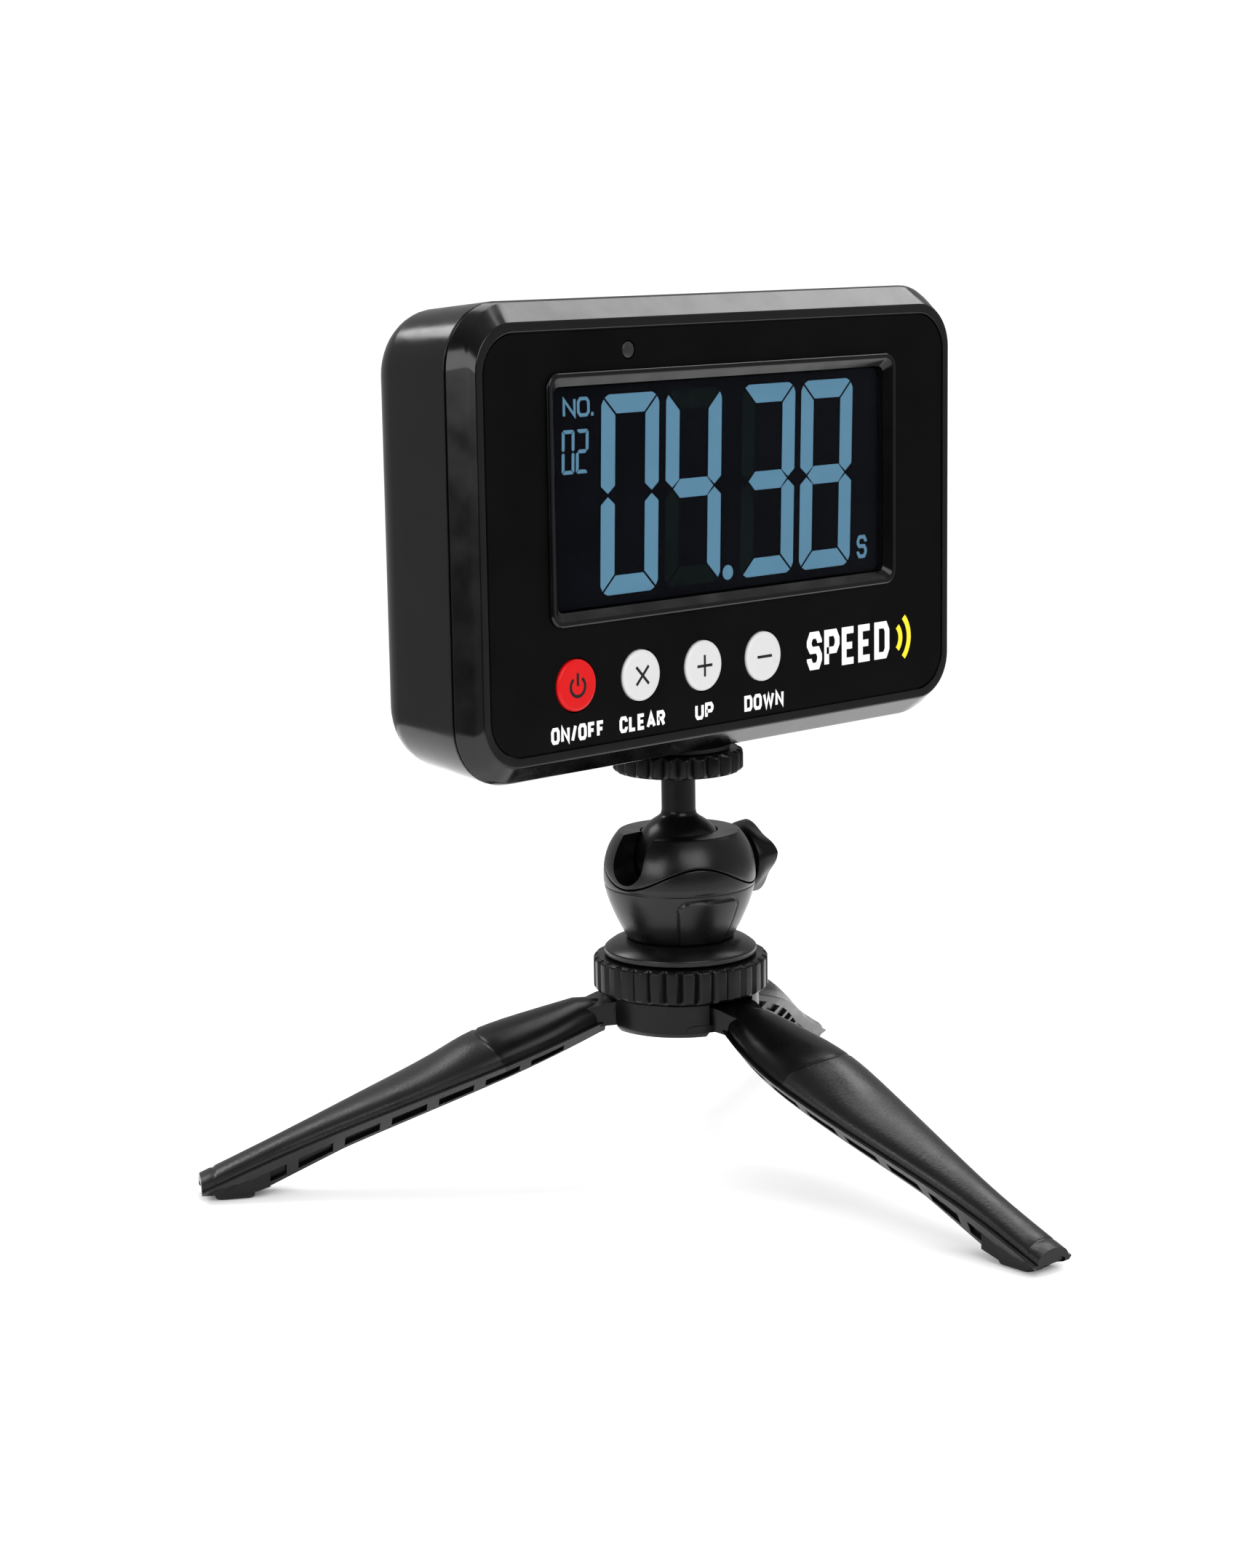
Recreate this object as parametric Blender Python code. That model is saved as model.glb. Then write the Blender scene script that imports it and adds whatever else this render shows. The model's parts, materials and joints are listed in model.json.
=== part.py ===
"""A sports speed radar: a display unit on a ball-head mini tripod.

The unit's front faces -Y and +Z is up. The object stands on three legs at z = 0,
and the world origin is the middle of its footprint. The dimensions below are in
millimetres. MM turns them into Blender's metres when a mesh is made.
"""

import math

import bmesh
import bpy
from mathutils import Matrix, Vector

MM = 0.001

# Heights above the ground, on the tripod's axis.
BALL_Z = 67.4
FACE_Z = BALL_Z + 72.4
LEG_PIN_Z = 35.4

# Legs: radii are measured from the tripod's axis.
LEG_ANGLES = {"front": -92.0, "right": 28.0, "left": 148.0}
LEG_PIN_R = 13.4
LEG_TIP_R = 104.8
LEG_TIP_HALF = 5.5



def tip_corners():
    """The far corners of the three legs, from the tripod's axis."""
    corners = []
    for angle in LEG_ANGLES.values():
        out = Vector((math.cos(math.radians(angle)), math.sin(math.radians(angle))))
        for half in (-LEG_TIP_HALF, LEG_TIP_HALF):
            corners.append(LEG_TIP_R * out + half * Vector((-out.y, out.x)))
    return corners


# The axis stands where the middle of the footprint comes to the world origin.
AXIS_X = -(min(c.x for c in tip_corners()) + max(c.x for c in tip_corners())) / 2
AXIS_Y = -(min(c.y for c in tip_corners()) + max(c.y for c in tip_corners())) / 2

# Display unit. Depths run back from the front face.
AXIS_DEPTH = 16.5
SEAM_DEPTH = 5.6
SEAM_GAP = 0.4
SHELL_DEPTH = 33.0
PANEL_HALF = (67.0, 41.1)
PANEL_RADIUS = 8.0
SEAM_HALF = (72.0, 47.3)
SEAM_RADIUS = 13.0
REAR_ROUND = 9.0
DRAFT = 0.09
WALL = 2.2
GAP = 0.3

WINDOW_CENTRE = (-0.2, 8.2)
WINDOW_HALF = (51.1, 24.95)

BUTTONS = ("power", "clear", "up", "down")
BUTTON_X = -44.6
BUTTON_PITCH = 17.94
BUTTON_Z = -28.5
BUTTON_R = 5.25
SENSOR_AT = (-28.7, 36.9)
SCREW_SPOTS = ((-61.0, 33.0), (61.0, 33.0), (-61.0, -33.0), (61.0, -33.0))

BATTERY_R = 7.2
BATTERY_LENGTH = 50.5
BATTERY_SPOTS = ((-26.45, 14.2), (26.45, 14.2), (-26.45, -1.8), (26.45, -1.8))
BATTERY_DEPTH = 22.2
COVER_CENTRE_Z = 6.2
COVER_HALF = (56.5, 19.2)

# Ball head.
BALL_R = 10.0
HEAD_R = 16.35
HEAD_TOP = 6.0
BELLY_Z = BALL_Z - 4.1
STUD_R = 3.1
STEM_R = 3.65
NOTCH_HALF = 4.4
KNOB_X = (17.0, 23.2)
KNOB_DROP = 3.0
KNOB_PHASE = 168.0

# Lock ring and hub.
RING_Z = (39.0, 46.4)
RING_R = 18.85
RING_GROOVES = 32
HUB_R = 16.8
HUB_Z = (31.4, 38.6)

FINISHES = {
    "satin_black": ((0.012, 0.012, 0.013), 0.42, 0.0),
    "shell_black": ((0.016, 0.016, 0.017), 0.38, 0.0),
    "gloss_black": ((0.006, 0.006, 0.007), 0.10, 0.0),
    "panel_black": ((0.008, 0.008, 0.009), 0.22, 0.0),
    "clear": ((0.60, 0.64, 0.68), 0.05, 0.0),
    "lcd": ((0.010, 0.012, 0.018), 0.15, 0.0),
    "white_plastic": ((0.72, 0.72, 0.72), 0.35, 0.0),
    "red_plastic": ((0.80, 0.02, 0.02), 0.35, 0.0),
    "board_green": ((0.02, 0.13, 0.05), 0.45, 0.0),
    "component_black": ((0.02, 0.02, 0.02), 0.50, 0.0),
    "steel": ((0.55, 0.55, 0.56), 0.28, 1.0),
    "brass": ((0.65, 0.46, 0.18), 0.30, 1.0),
    "rubber": ((0.015, 0.015, 0.015), 0.80, 0.0),
    "cell_jacket": ((0.05, 0.10, 0.22), 0.35, 0.0),
}

BOX_STEPS = 4
ROUND_STEPS = 28


def clear_scene():
    for old in list(bpy.data.objects):
        bpy.data.objects.remove(old, do_unlink=True)


def finish_of(name):
    """The Principled material of this finish, made on first use."""
    found = bpy.data.materials.get(name)
    if found:
        return found
    colour, roughness, metallic = FINISHES[name]
    made = bpy.data.materials.new(name)
    made.use_nodes = True
    shader = made.node_tree.nodes["Principled BSDF"]
    shader.inputs["Base Color"].default_value = (*colour, 1.0)
    shader.inputs["Roughness"].default_value = roughness
    shader.inputs["Metallic"].default_value = metallic
    made.diffuse_color = (*colour, 1.0)
    return made


# Places. Each gives a point in millimetres in the world frame.

def on_axis(x, y, z):
    """A point given from the tripod's axis."""
    return Vector((x + AXIS_X, y + AXIS_Y, z))


def on_unit(x, depth, z):
    """A point given from the middle of the unit's front face."""
    return Vector((x + AXIS_X, depth - AXIS_DEPTH + AXIS_Y, z + FACE_Z))


# Outlines and rings.

def box_outline(half_w, half_h, radius, centre=(0.0, 0.0), steps=BOX_STEPS):
    """A rectangle with round corners, anticlockwise, as (u, v) points."""
    points = []
    for corner, (sign_u, sign_v) in enumerate(((1, 1), (-1, 1), (-1, -1), (1, -1))):
        mid_u = centre[0] + sign_u * (half_w - radius)
        mid_v = centre[1] + sign_v * (half_h - radius)
        for step in range(steps + 1):
            turn = math.radians(90 * corner + 90 * step / steps)
            points.append((mid_u + radius * math.cos(turn), mid_v + radius * math.sin(turn)))
    return points


def circle(radius, steps=ROUND_STEPS):
    turns = [2 * math.pi * i / steps for i in range(steps)]
    return [(radius * math.cos(turn), radius * math.sin(turn)) for turn in turns]


def unit_ring(outline, depth):
    return [on_unit(u, depth, v) for u, v in outline]


# Solids.

def add_object(name, mesh_data, finish, origin):
    """An object whose origin is at this point, in millimetres."""
    origin = Vector(origin)
    bmesh.ops.recalc_face_normals(mesh_data, faces=mesh_data.faces)
    bmesh.ops.transform(
        mesh_data, matrix=Matrix.Scale(MM, 4) @ Matrix.Translation(-origin), verts=mesh_data.verts
    )
    mesh = bpy.data.meshes.new(name)
    mesh_data.to_mesh(mesh)
    mesh_data.free()
    mesh.shade_smooth()
    mesh.set_sharp_from_angle(angle=math.radians(35))
    mesh.materials.append(finish_of(finish))
    made = bpy.data.objects.new(name, mesh)
    made.location = origin * MM
    bpy.context.collection.objects.link(made)
    return made


def loft(name, rings, finish, origin, closed=False):
    """A solid through rings of equal length, with an end face on the first and the last."""
    shape = bmesh.new()
    loops = [[shape.verts.new(point) for point in ring] for ring in rings]
    pairs = list(zip(loops, loops[1:]))
    if closed:
        pairs.append((loops[-1], loops[0]))
    else:
        shape.faces.new(loops[0])
        shape.faces.new(loops[-1])
    for lower, upper in pairs:
        for i in range(len(lower)):
            after = (i + 1) % len(lower)
            shape.faces.new((lower[i], lower[after], upper[after], upper[i]))
    return add_object(name, shape, finish, origin)


def turned(name, profile, finish, origin, place, steps=ROUND_STEPS, closed=False):
    """A body of revolution. profile is (radius, height) points, and place maps (u, v, height)."""
    rings = []
    for radius, height in profile:
        rings.append([place(u, v, height) for u, v in circle(radius, steps)])
    return loft(name, rings, finish, origin, closed)


def upright(u, v, height):
    """Places a turned profile about the tripod's axis."""
    return on_axis(u, v, height)


def along_depth(x, z):
    """Places a turned profile about a line through the unit's face."""
    return lambda u, v, depth: on_unit(x + u, depth, z + v)


def along_x(y, z):
    """Places a turned profile about a line along X, measured from the tripod's axis."""
    return lambda u, v, x: on_axis(x, y + u, z + v)


def block(name, low, high, finish, origin):
    """A rectangular block between two corners in millimetres."""
    rings = []
    for z in (low[2], high[2]):
        rings.append(
            [
                Vector((low[0], low[1], z)),
                Vector((high[0], low[1], z)),
                Vector((high[0], high[1], z)),
                Vector((low[0], high[1], z)),
            ]
        )
    return loft(name, rings, finish, origin)


def unit_block(name, low, high, finish, origin):
    """A block in the unit's own (x, depth, z)."""
    return block(name, on_unit(*low), on_unit(*high), finish, origin)


def combine(target, tool, operation):
    """Applies one exact Boolean to the target, then removes the tool."""
    modifier = target.modifiers.new("shape", "BOOLEAN")
    modifier.operation = operation
    modifier.object = tool
    modifier.solver = "EXACT"
    graph = bpy.context.evaluated_depsgraph_get()
    mesh = bpy.data.meshes.new_from_object(target.evaluated_get(graph))
    target.modifiers.clear()
    target.data = mesh
    bpy.data.objects.remove(tool, do_unlink=True)
    mesh.shade_smooth()
    mesh.set_sharp_from_angle(angle=math.radians(35))


def cut(target, *tools):
    for tool in tools:
        combine(target, tool, "DIFFERENCE")


def join(target, *tools):
    for tool in tools:
        combine(target, tool, "UNION")


def depth_drill(x, z, radius, start, end, steps=20):
    """A cutter through the unit, along its depth."""
    profile = ((radius, start), (radius, end))
    return turned("drill", profile, "satin_black", on_unit(x, start, z), along_depth(x, z), steps)


def button_x(index):
    return BUTTON_X + BUTTON_PITCH * index


# The display unit.

UNIT_ORIGIN = on_axis(0, 0, BALL_Z)


def crest_ring():
    """The edge where the sloped front border meets the side band.

    The slope has one angle all the way round. It is wide above and below, and it
    fades out at the sides, so the edge lies deeper where the border is wider.
    """
    inner = box_outline(69.1, 43.2, 9.4)
    outer = box_outline(69.7, 47.1, 12.0)
    ring = []
    for (inner_u, inner_v), (u, v) in zip(inner, outer):
        width = math.hypot(u - inner_u, v - inner_v)
        ring.append(on_unit(u, 0.1 + 1.05 * width, v))
    return ring


def make_front_frame():
    half_w, half_h = SEAM_HALF
    recess = box_outline(67.3, 41.4, 8.2)
    rings = [
        unit_ring(recess, 1.3),
        unit_ring(recess, 0.15),
        unit_ring(box_outline(67.5, 41.6, 8.3), 0.0),
        unit_ring(box_outline(69.1, 43.2, 9.4), 0.0),
        crest_ring(),
        unit_ring(box_outline(half_w, half_h, SEAM_RADIUS), SEAM_DEPTH),
        unit_ring(box_outline(half_w - WALL, half_h - WALL, SEAM_RADIUS - WALL), SEAM_DEPTH),
        unit_ring(box_outline(69.0, 44.4, 10.0), 3.3),
    ]
    frame = loft("front_frame", rings, "shell_black", UNIT_ORIGIN)
    hole = box_outline(50.1, 23.95, 2.5, WINDOW_CENTRE)
    cut(frame, loft("window", [unit_ring(hole, -1), unit_ring(hole, 5)], "satin_black", UNIT_ORIGIN))
    for index in range(len(BUTTONS)):
        cut(frame, depth_drill(button_x(index), BUTTON_Z, BUTTON_R + GAP, -1, 5, 24))
    cut(frame, depth_drill(*SENSOR_AT, 1.9, -1, 5, 16))
    for x, z in SCREW_SPOTS:
        join(frame, depth_drill(x, z, 3.2, 3.0, 13.6, 14))
        cut(frame, depth_drill(x, z, 1.6, 7.0, 15.0, 10))


def make_front_panel():
    outline = box_outline(*PANEL_HALF, PANEL_RADIUS)
    panel = loft(
        "front_panel", [unit_ring(outline, 0.1), unit_ring(outline, 1.0)], "panel_black", UNIT_ORIGIN
    )
    hole = box_outline(50.1, 23.95, 2.5, WINDOW_CENTRE)
    cut(panel, loft("window", [unit_ring(hole, -1), unit_ring(hole, 3)], "satin_black", UNIT_ORIGIN))
    for index in range(len(BUTTONS)):
        cut(panel, depth_drill(button_x(index), BUTTON_Z, BUTTON_R + GAP, -1, 3, 24))
    cut(panel, depth_drill(*SENSOR_AT, 1.9, -1, 3, 16))


def make_window():
    """The raised bezel and the clear lens inside it."""
    half_w, half_h = WINDOW_HALF
    rings = [
        unit_ring(box_outline(half_w - 0.5, half_h - 0.5, 2.6, WINDOW_CENTRE), -0.8),
        unit_ring(box_outline(half_w, half_h, 3.0, WINDOW_CENTRE), -0.5),
        unit_ring(box_outline(half_w, half_h, 3.0, WINDOW_CENTRE), -0.2),
        unit_ring(box_outline(49.8, 23.65, 2.2, WINDOW_CENTRE), -0.2),
        unit_ring(box_outline(49.8, 23.65, 2.2, WINDOW_CENTRE), 3.0),
        unit_ring(box_outline(48.3, 22.2, 1.5, WINDOW_CENTRE), 3.0),
        unit_ring(box_outline(48.3, 22.2, 1.5, WINDOW_CENTRE), 0.7),
        unit_ring(box_outline(50.1, 24.0, 2.2, WINDOW_CENTRE), -0.8),
    ]
    loft("window_bezel", rings, "gloss_black", UNIT_ORIGIN, closed=True)
    lens = box_outline(48.0, 21.9, 1.3, WINDOW_CENTRE)
    loft("display_lens", [unit_ring(lens, 0.8), unit_ring(lens, 1.7)], "clear", UNIT_ORIGIN)


def make_display():
    """The LCD, its light panel and the holder that clips both to the main board.

    The LCD's front glass is smaller than its rear one and reaches into the window.
    """
    front = box_outline(47.9, 21.8, 1.2, WINDOW_CENTRE, 1)
    rear = box_outline(50.6, 24.4, 0.8, WINDOW_CENTRE, 1)
    rings = [unit_ring(front, 2.0), unit_ring(front, 3.7), unit_ring(rear, 3.7), unit_ring(rear, 6.0)]
    loft("lcd_glass", rings, "lcd", UNIT_ORIGIN)
    light = box_outline(50.2, 24.0, 0.8, WINDOW_CENTRE, 1)
    loft(
        "backlight_panel",
        [unit_ring(light, 6.4), unit_ring(light, 8.8)],
        "white_plastic",
        UNIT_ORIGIN,
    )
    outer = box_outline(52.6, 26.2, 1.5, WINDOW_CENTRE, 1)
    inner = box_outline(50.9, 24.7, 0.8, WINDOW_CENTRE, 1)
    rings = [unit_ring(outer, 3.7), unit_ring(outer, 9.6), unit_ring(inner, 9.6), unit_ring(inner, 3.7)]
    loft("lcd_holder", rings, "satin_black", UNIT_ORIGIN, closed=True)


def make_electronics():
    board = box_outline(54.5, 36.2, 2.0, (0.0, 3.6), 2)
    loft("main_board", [unit_ring(board, 10.0), unit_ring(board, 11.6)], "board_green", UNIT_ORIGIN)
    for index, button in enumerate(BUTTONS):
        x = button_x(index)
        body = unit_block(
            "switch_" + button, (x - 3, 6.2, BUTTON_Z - 3), (x + 3, 9.7, BUTTON_Z + 3),
            "component_black", UNIT_ORIGIN,
        )
        join(body, depth_drill(x, BUTTON_Z, 1.7, 5.4, 7.0, 12))
    x, z = SENSOR_AT
    turned(
        "sensor_window", ((1.6, -0.1), (1.6, 4.4)), "clear", UNIT_ORIGIN, along_depth(x, z), 16
    )
    turned(
        "light_sensor", ((1.0, 4.8), (1.4, 5.3), (1.4, 9.7)), "clear", UNIT_ORIGIN, along_depth(x, z), 12
    )
    turned(
        "buzzer", ((6.0, 11.9), (6.0, 15.6), (5.0, 16.2)), "component_black", UNIT_ORIGIN,
        along_depth(-40.0, -23.5), 20,
    )
    unit_block("radar_module", (12.0, 11.9, -30.0), (48.0, 15.4, -15.0), "steel", UNIT_ORIGIN)


def make_buttons():
    for index, button in enumerate(BUTTONS):
        x = button_x(index)
        profile = (
            (4.8, -0.5), (BUTTON_R, -0.2), (BUTTON_R, 3.6), (6.3, 3.6),
            (6.3, 4.2), (1.6, 4.2), (1.6, 4.7),
        )
        finish = "red_plastic" if button == "power" else "white_plastic"
        turned(
            "button_" + button, profile, finish, on_unit(x, 0, BUTTON_Z), along_depth(x, BUTTON_Z), 24
        )


def shell_half(depth):
    """Half width, half height and corner radius of the rear shell's outside at this depth."""
    inset = DRAFT * (depth - SEAM_DEPTH)
    round_start = SHELL_DEPTH - REAR_ROUND
    if depth > round_start:
        rise = (depth - round_start) / REAR_ROUND
        inset += REAR_ROUND * (1 - math.sqrt(max(0.0, 1 - rise * rise)))
    return SEAM_HALF[0] - inset, SEAM_HALF[1] - inset, max(SEAM_RADIUS - 0.6 * inset, 4.0)


def make_rear_shell():
    start = SEAM_DEPTH + SEAM_GAP
    round_start = SHELL_DEPTH - REAR_ROUND
    depths = [start, round_start]
    depths += [round_start + REAR_ROUND * math.sin(math.radians(turn)) for turn in (30, 60, 90)]
    outside = [unit_ring(box_outline(*shell_half(depth)), depth) for depth in depths]
    inside = []
    for depth in (start, round_start, SHELL_DEPTH - WALL - 2.2, SHELL_DEPTH - WALL):
        half_w, half_h, radius = shell_half(depth)
        inside.append(unit_ring(box_outline(half_w - WALL, half_h - WALL, radius - 2.0), depth))
    shell = loft("rear_shell", list(reversed(inside)) + outside, "shell_black", UNIT_ORIGIN)

    # Boss and foot for the tripod nut.
    bottom = -shell_half(AXIS_DEPTH)[1]
    join(
        shell,
        unit_block(
            "boss", (-8, AXIS_DEPTH - 6.1, bottom + 1), (8, AXIS_DEPTH + 8, -34.0),
            "satin_black", UNIT_ORIGIN,
        ),
        turned(
            "foot", ((10.0, FACE_Z - 47.3), (10.0, FACE_Z - 44.5)), "satin_black", UNIT_ORIGIN,
            upright, 28,
        ),
    )
    cut(
        shell,
        turned(
            "bore", ((5.3, FACE_Z - 49), (5.3, FACE_Z - 33)), "satin_black", UNIT_ORIGIN, upright, 24
        ),
    )

    # Battery opening, with a shallow ledge that the cover sits on.
    half_w, half_h = COVER_HALF
    centre = (0.0, COVER_CENTRE_Z)
    ledge = box_outline(half_w + GAP, half_h + GAP, 3.0, centre, 3)
    opening = box_outline(half_w - 1.6, half_h - 1.6, 2.0, centre, 3)
    cut(
        shell,
        loft("ledge", [unit_ring(ledge, SHELL_DEPTH - 1.4), unit_ring(ledge, 35)], "satin_black", UNIT_ORIGIN),
        loft("opening", [unit_ring(opening, 29), unit_ring(opening, 35)], "satin_black", UNIT_ORIGIN),
    )
    for x, z in SCREW_SPOTS:
        join(shell, depth_drill(x, z, 4.3, 14.0, 31.0, 16))
        cut(shell, depth_drill(x, z, 2.9, 16.0, 35.0, 14), depth_drill(x, z, 1.7, 13.0, 17.0, 10))


def make_batteries():
    box_low, box_high = (-54.6, 13.0, -10.9), (54.6, 30.3, 23.3)
    box = unit_block("battery_box", box_low, box_high, "satin_black", UNIT_ORIGIN)
    for low_x, high_x in ((-53.4, -0.6), (0.6, 53.4)):
        cut(
            box,
            unit_block(
                "bay", (low_x, 14.4, box_low[2] + 1.2), (high_x, 40, box_high[2] - 1.2),
                "satin_black", UNIT_ORIGIN,
            ),
        )
    for number, (x, z) in enumerate(BATTERY_SPOTS, 1):
        half = BATTERY_LENGTH / 2
        sign = 1 if number in (1, 4) else -1
        profile = ((BATTERY_R, -half), (BATTERY_R, half - 1.2), (2.6, half - 1.2), (2.6, half))
        place = lambda u, v, along, x=x, z=z, sign=sign: on_unit(
            x + sign * along, BATTERY_DEPTH + u, z + v
        )
        turned("battery_%d" % number, profile, "cell_jacket", UNIT_ORIGIN, place, 20)
    for side, x in (("left", -52.7), ("right", 52.7)):
        unit_block(
            "contact_" + side, (x - 0.3, 16.0, -8.8), (x + 0.3, 28.0, 21.2), "steel", UNIT_ORIGIN
        )


def make_battery_cover():
    """A lid whose tongue drops into the opening, with a grip groove at its top."""
    half_w, half_h = COVER_HALF
    centre = (0.0, COVER_CENTRE_Z)
    rings = [
        unit_ring(box_outline(half_w - 2.0, half_h - 2.0, 1.8, centre, 3), SHELL_DEPTH - 2.3),
        unit_ring(box_outline(half_w - 2.0, half_h - 2.0, 1.8, centre, 3), SHELL_DEPTH - 1.1),
        unit_ring(box_outline(half_w, half_h, 2.7, centre, 3), SHELL_DEPTH - 1.1),
        unit_ring(box_outline(half_w, half_h, 2.7, centre, 3), SHELL_DEPTH - 0.3),
        unit_ring(box_outline(half_w - 0.3, half_h - 0.3, 2.5, centre, 3), SHELL_DEPTH),
    ]
    cover = loft("battery_cover", rings, "shell_black", on_unit(0, SHELL_DEPTH, COVER_CENTRE_Z))
    cut(
        cover,
        unit_block(
            "grip", (-9, SHELL_DEPTH - 0.7, COVER_CENTRE_Z + 12), (9, 34, COVER_CENTRE_Z + 15.5),
            "satin_black", UNIT_ORIGIN,
        ),
    )


def make_unit_screws():
    for number, (x, z) in enumerate(SCREW_SPOTS, 1):
        profile = ((1.2, 7.6), (1.2, 16.3), (2.6, 16.3), (2.6, 18.0), (2.0, 18.5))
        turned(
            "shell_screw_%d" % number, profile, "steel", UNIT_ORIGIN, along_depth(x, z), 12
        )


# The ball head, from the top down.

def make_mount():
    """The nut in the unit, the stud that screws into it, and the wheel that locks them."""
    top = FACE_Z - 46.9
    profile = ((5.0, top), (5.0, top + 11.0), (STUD_R + GAP, top + 11.0), (STUD_R + GAP, top))
    turned("tripod_nut", profile, "brass", UNIT_ORIGIN, upright, 20, closed=True)
    turned(
        "mount_stud", ((STUD_R, 86.4), (STUD_R, 101.4), (2.4, 102.2)), "steel", UNIT_ORIGIN,
        upright, 20,
    )
    turned(
        "mount_pad", ((11.2, 91.4), (11.2, 92.2), (3.7, 92.2), (3.7, 91.4)), "rubber",
        UNIT_ORIGIN, upright, 24, closed=True,
    )
    make_knurled(
        "mount_wheel", 14.0, 0.7, 24, (86.4, 91.1), "satin_black",
        bore=((STUD_R + 0.8, 91.1), (STUD_R + 0.8, 86.4)),
    )


def make_knurled(name, radius, groove, count, span, finish, bore):
    """A ring with rounded grooves round its rim. bore is its inside, from the top down."""
    low, high = span
    steps = count * 4

    def rim(scale, depth, z):
        points = []
        for i in range(steps):
            turn = 2 * math.pi * i / steps
            dip = max(0.0, math.cos(count * turn)) * depth
            reach = (radius - dip) * scale
            points.append(on_axis(reach * math.cos(turn), reach * math.sin(turn), z))
        return points

    rings = [
        rim(0.95, 0.0, low),
        rim(1.0, groove, low + 0.7),
        rim(1.0, groove, high - 0.7),
        rim(0.95, 0.0, high),
    ]
    for bore_radius, z in bore:
        rings.append([on_axis(u, v, z) for u, v in circle(bore_radius, steps)])
    return loft(name, rings, finish, on_axis(0, 0, BALL_Z), closed=True)


def make_ball():
    """The ball, with the stem that grows from it as one turned piece."""
    profile = []
    for turn in range(-75, 61, 15):
        angle = math.radians(turn)
        profile.append((BALL_R * math.cos(angle), BALL_Z + BALL_R * math.sin(angle)))
    neck = math.sqrt(BALL_R**2 - STEM_R**2)
    profile += [(STEM_R + 0.25, BALL_Z + neck), (STEM_R, BALL_Z + neck + 1.0), (STEM_R, 86.1)]
    turned("ball_stem", profile, "satin_black", on_axis(0, 0, BALL_Z), upright, 24)


def parting_height(turn):
    """The wavy joint between the two halves of the housing, three waves round."""
    return BALL_Z - 2.1 + 2.5 * math.cos(3 * turn)


def head_radius(z):
    """Outside radius of the housing at this height."""
    rise = z - BELLY_Z
    reach = 10.9 if rise > 0 else 13.3
    power = 2.6 if rise > 0 else 1.55
    end = 12.2 if rise > 0 else 11.2
    share = min(1.0, abs(rise) / reach) ** power
    return HEAD_R + (end - HEAD_R) * share


def wavy_ring(share, steps, target, inner=None):
    """A ring between the parting line and a flat height. share 0 is on the parting line."""
    points = []
    for i in range(steps):
        turn = 2 * math.pi * i / steps
        z = parting_height(turn) * (1 - share) + target * share
        radius = inner if inner else head_radius(z)
        points.append(on_axis(radius * math.cos(turn), radius * math.sin(turn), z))
    return points


def make_housing():
    steps = 36
    top = BALL_Z + HEAD_TOP
    socket = [(math.sqrt((BALL_R + GAP) ** 2 - h * h), h) for h in (HEAD_TOP, 4.0, 2.0)]
    upper_rings = [wavy_ring(share, steps, top) for share in (0.0, 0.3, 0.6, 0.85, 1.0)]
    for radius, rise in socket:
        upper_rings.append([on_axis(u, v, BALL_Z + rise) for u, v in circle(radius, steps)])
    upper_rings.append(wavy_ring(0.0, steps, top, inner=BALL_R + 0.6))
    upper = loft("housing_upper", upper_rings, "satin_black", on_axis(0, 0, BALL_Z), closed=True)
    cut(upper, notch_tool(), knob_bore())

    bottom = 50.9
    lower_rings = [
        [point - Vector((0, 0, GAP)) for point in wavy_ring(share, steps, bottom)]
        for share in (0.0, 0.25, 0.5, 0.75, 1.0)
    ]
    lower_rings.append([on_axis(u, v, bottom - GAP) for u, v in circle(4.0, steps)])
    lower_rings.append([on_axis(u, v, 54.6) for u, v in circle(4.0, steps)])
    lower_rings.append([on_axis(u, v, 54.6) for u, v in circle(BALL_R + 0.6, steps)])
    lower_rings.append(
        [point - Vector((0, 0, GAP)) for point in wavy_ring(0.0, steps, bottom, BALL_R + 0.6)]
    )
    lower = loft("housing_lower", lower_rings, "satin_black", on_axis(0, 0, BALL_Z), closed=True)
    cut(lower, notch_tool(), knob_bore())

    seat = [(4.2, 55.0), (10.2, 55.0), (10.2, 62.4)]
    for turn in (-38, -48, -58, -66):
        angle = math.radians(turn)
        reach = BALL_R + GAP
        seat.append((reach * math.cos(angle), BALL_Z + reach * math.sin(angle)))
    turned("ball_seat", seat, "white_plastic", on_axis(0, 0, BALL_Z), upright, 28, closed=True)


def notch_tool():
    """The U slot towards -X that lets the stem lie down."""
    bottom = BALL_Z + HEAD_TOP - 9.8
    outline = [(-NOTCH_HALF, 14.0), (NOTCH_HALF, 14.0)]
    for step in range(9):
        turn = math.radians(180 * step / 8)
        outline.append((NOTCH_HALF * math.cos(turn), NOTCH_HALF - NOTCH_HALF * math.sin(turn)))
    rings = [[on_axis(x, u, bottom + v) for u, v in outline] for x in (-24.0, -6.0)]
    return loft("notch", rings, "satin_black", on_axis(0, 0, BALL_Z))


def knob_bore():
    profile = ((3.0, 9.0), (3.0, 20.0))
    place = along_x(0, BALL_Z - KNOB_DROP)
    return turned("bore", profile, "satin_black", on_axis(0, 0, BALL_Z), place, 16)


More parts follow.
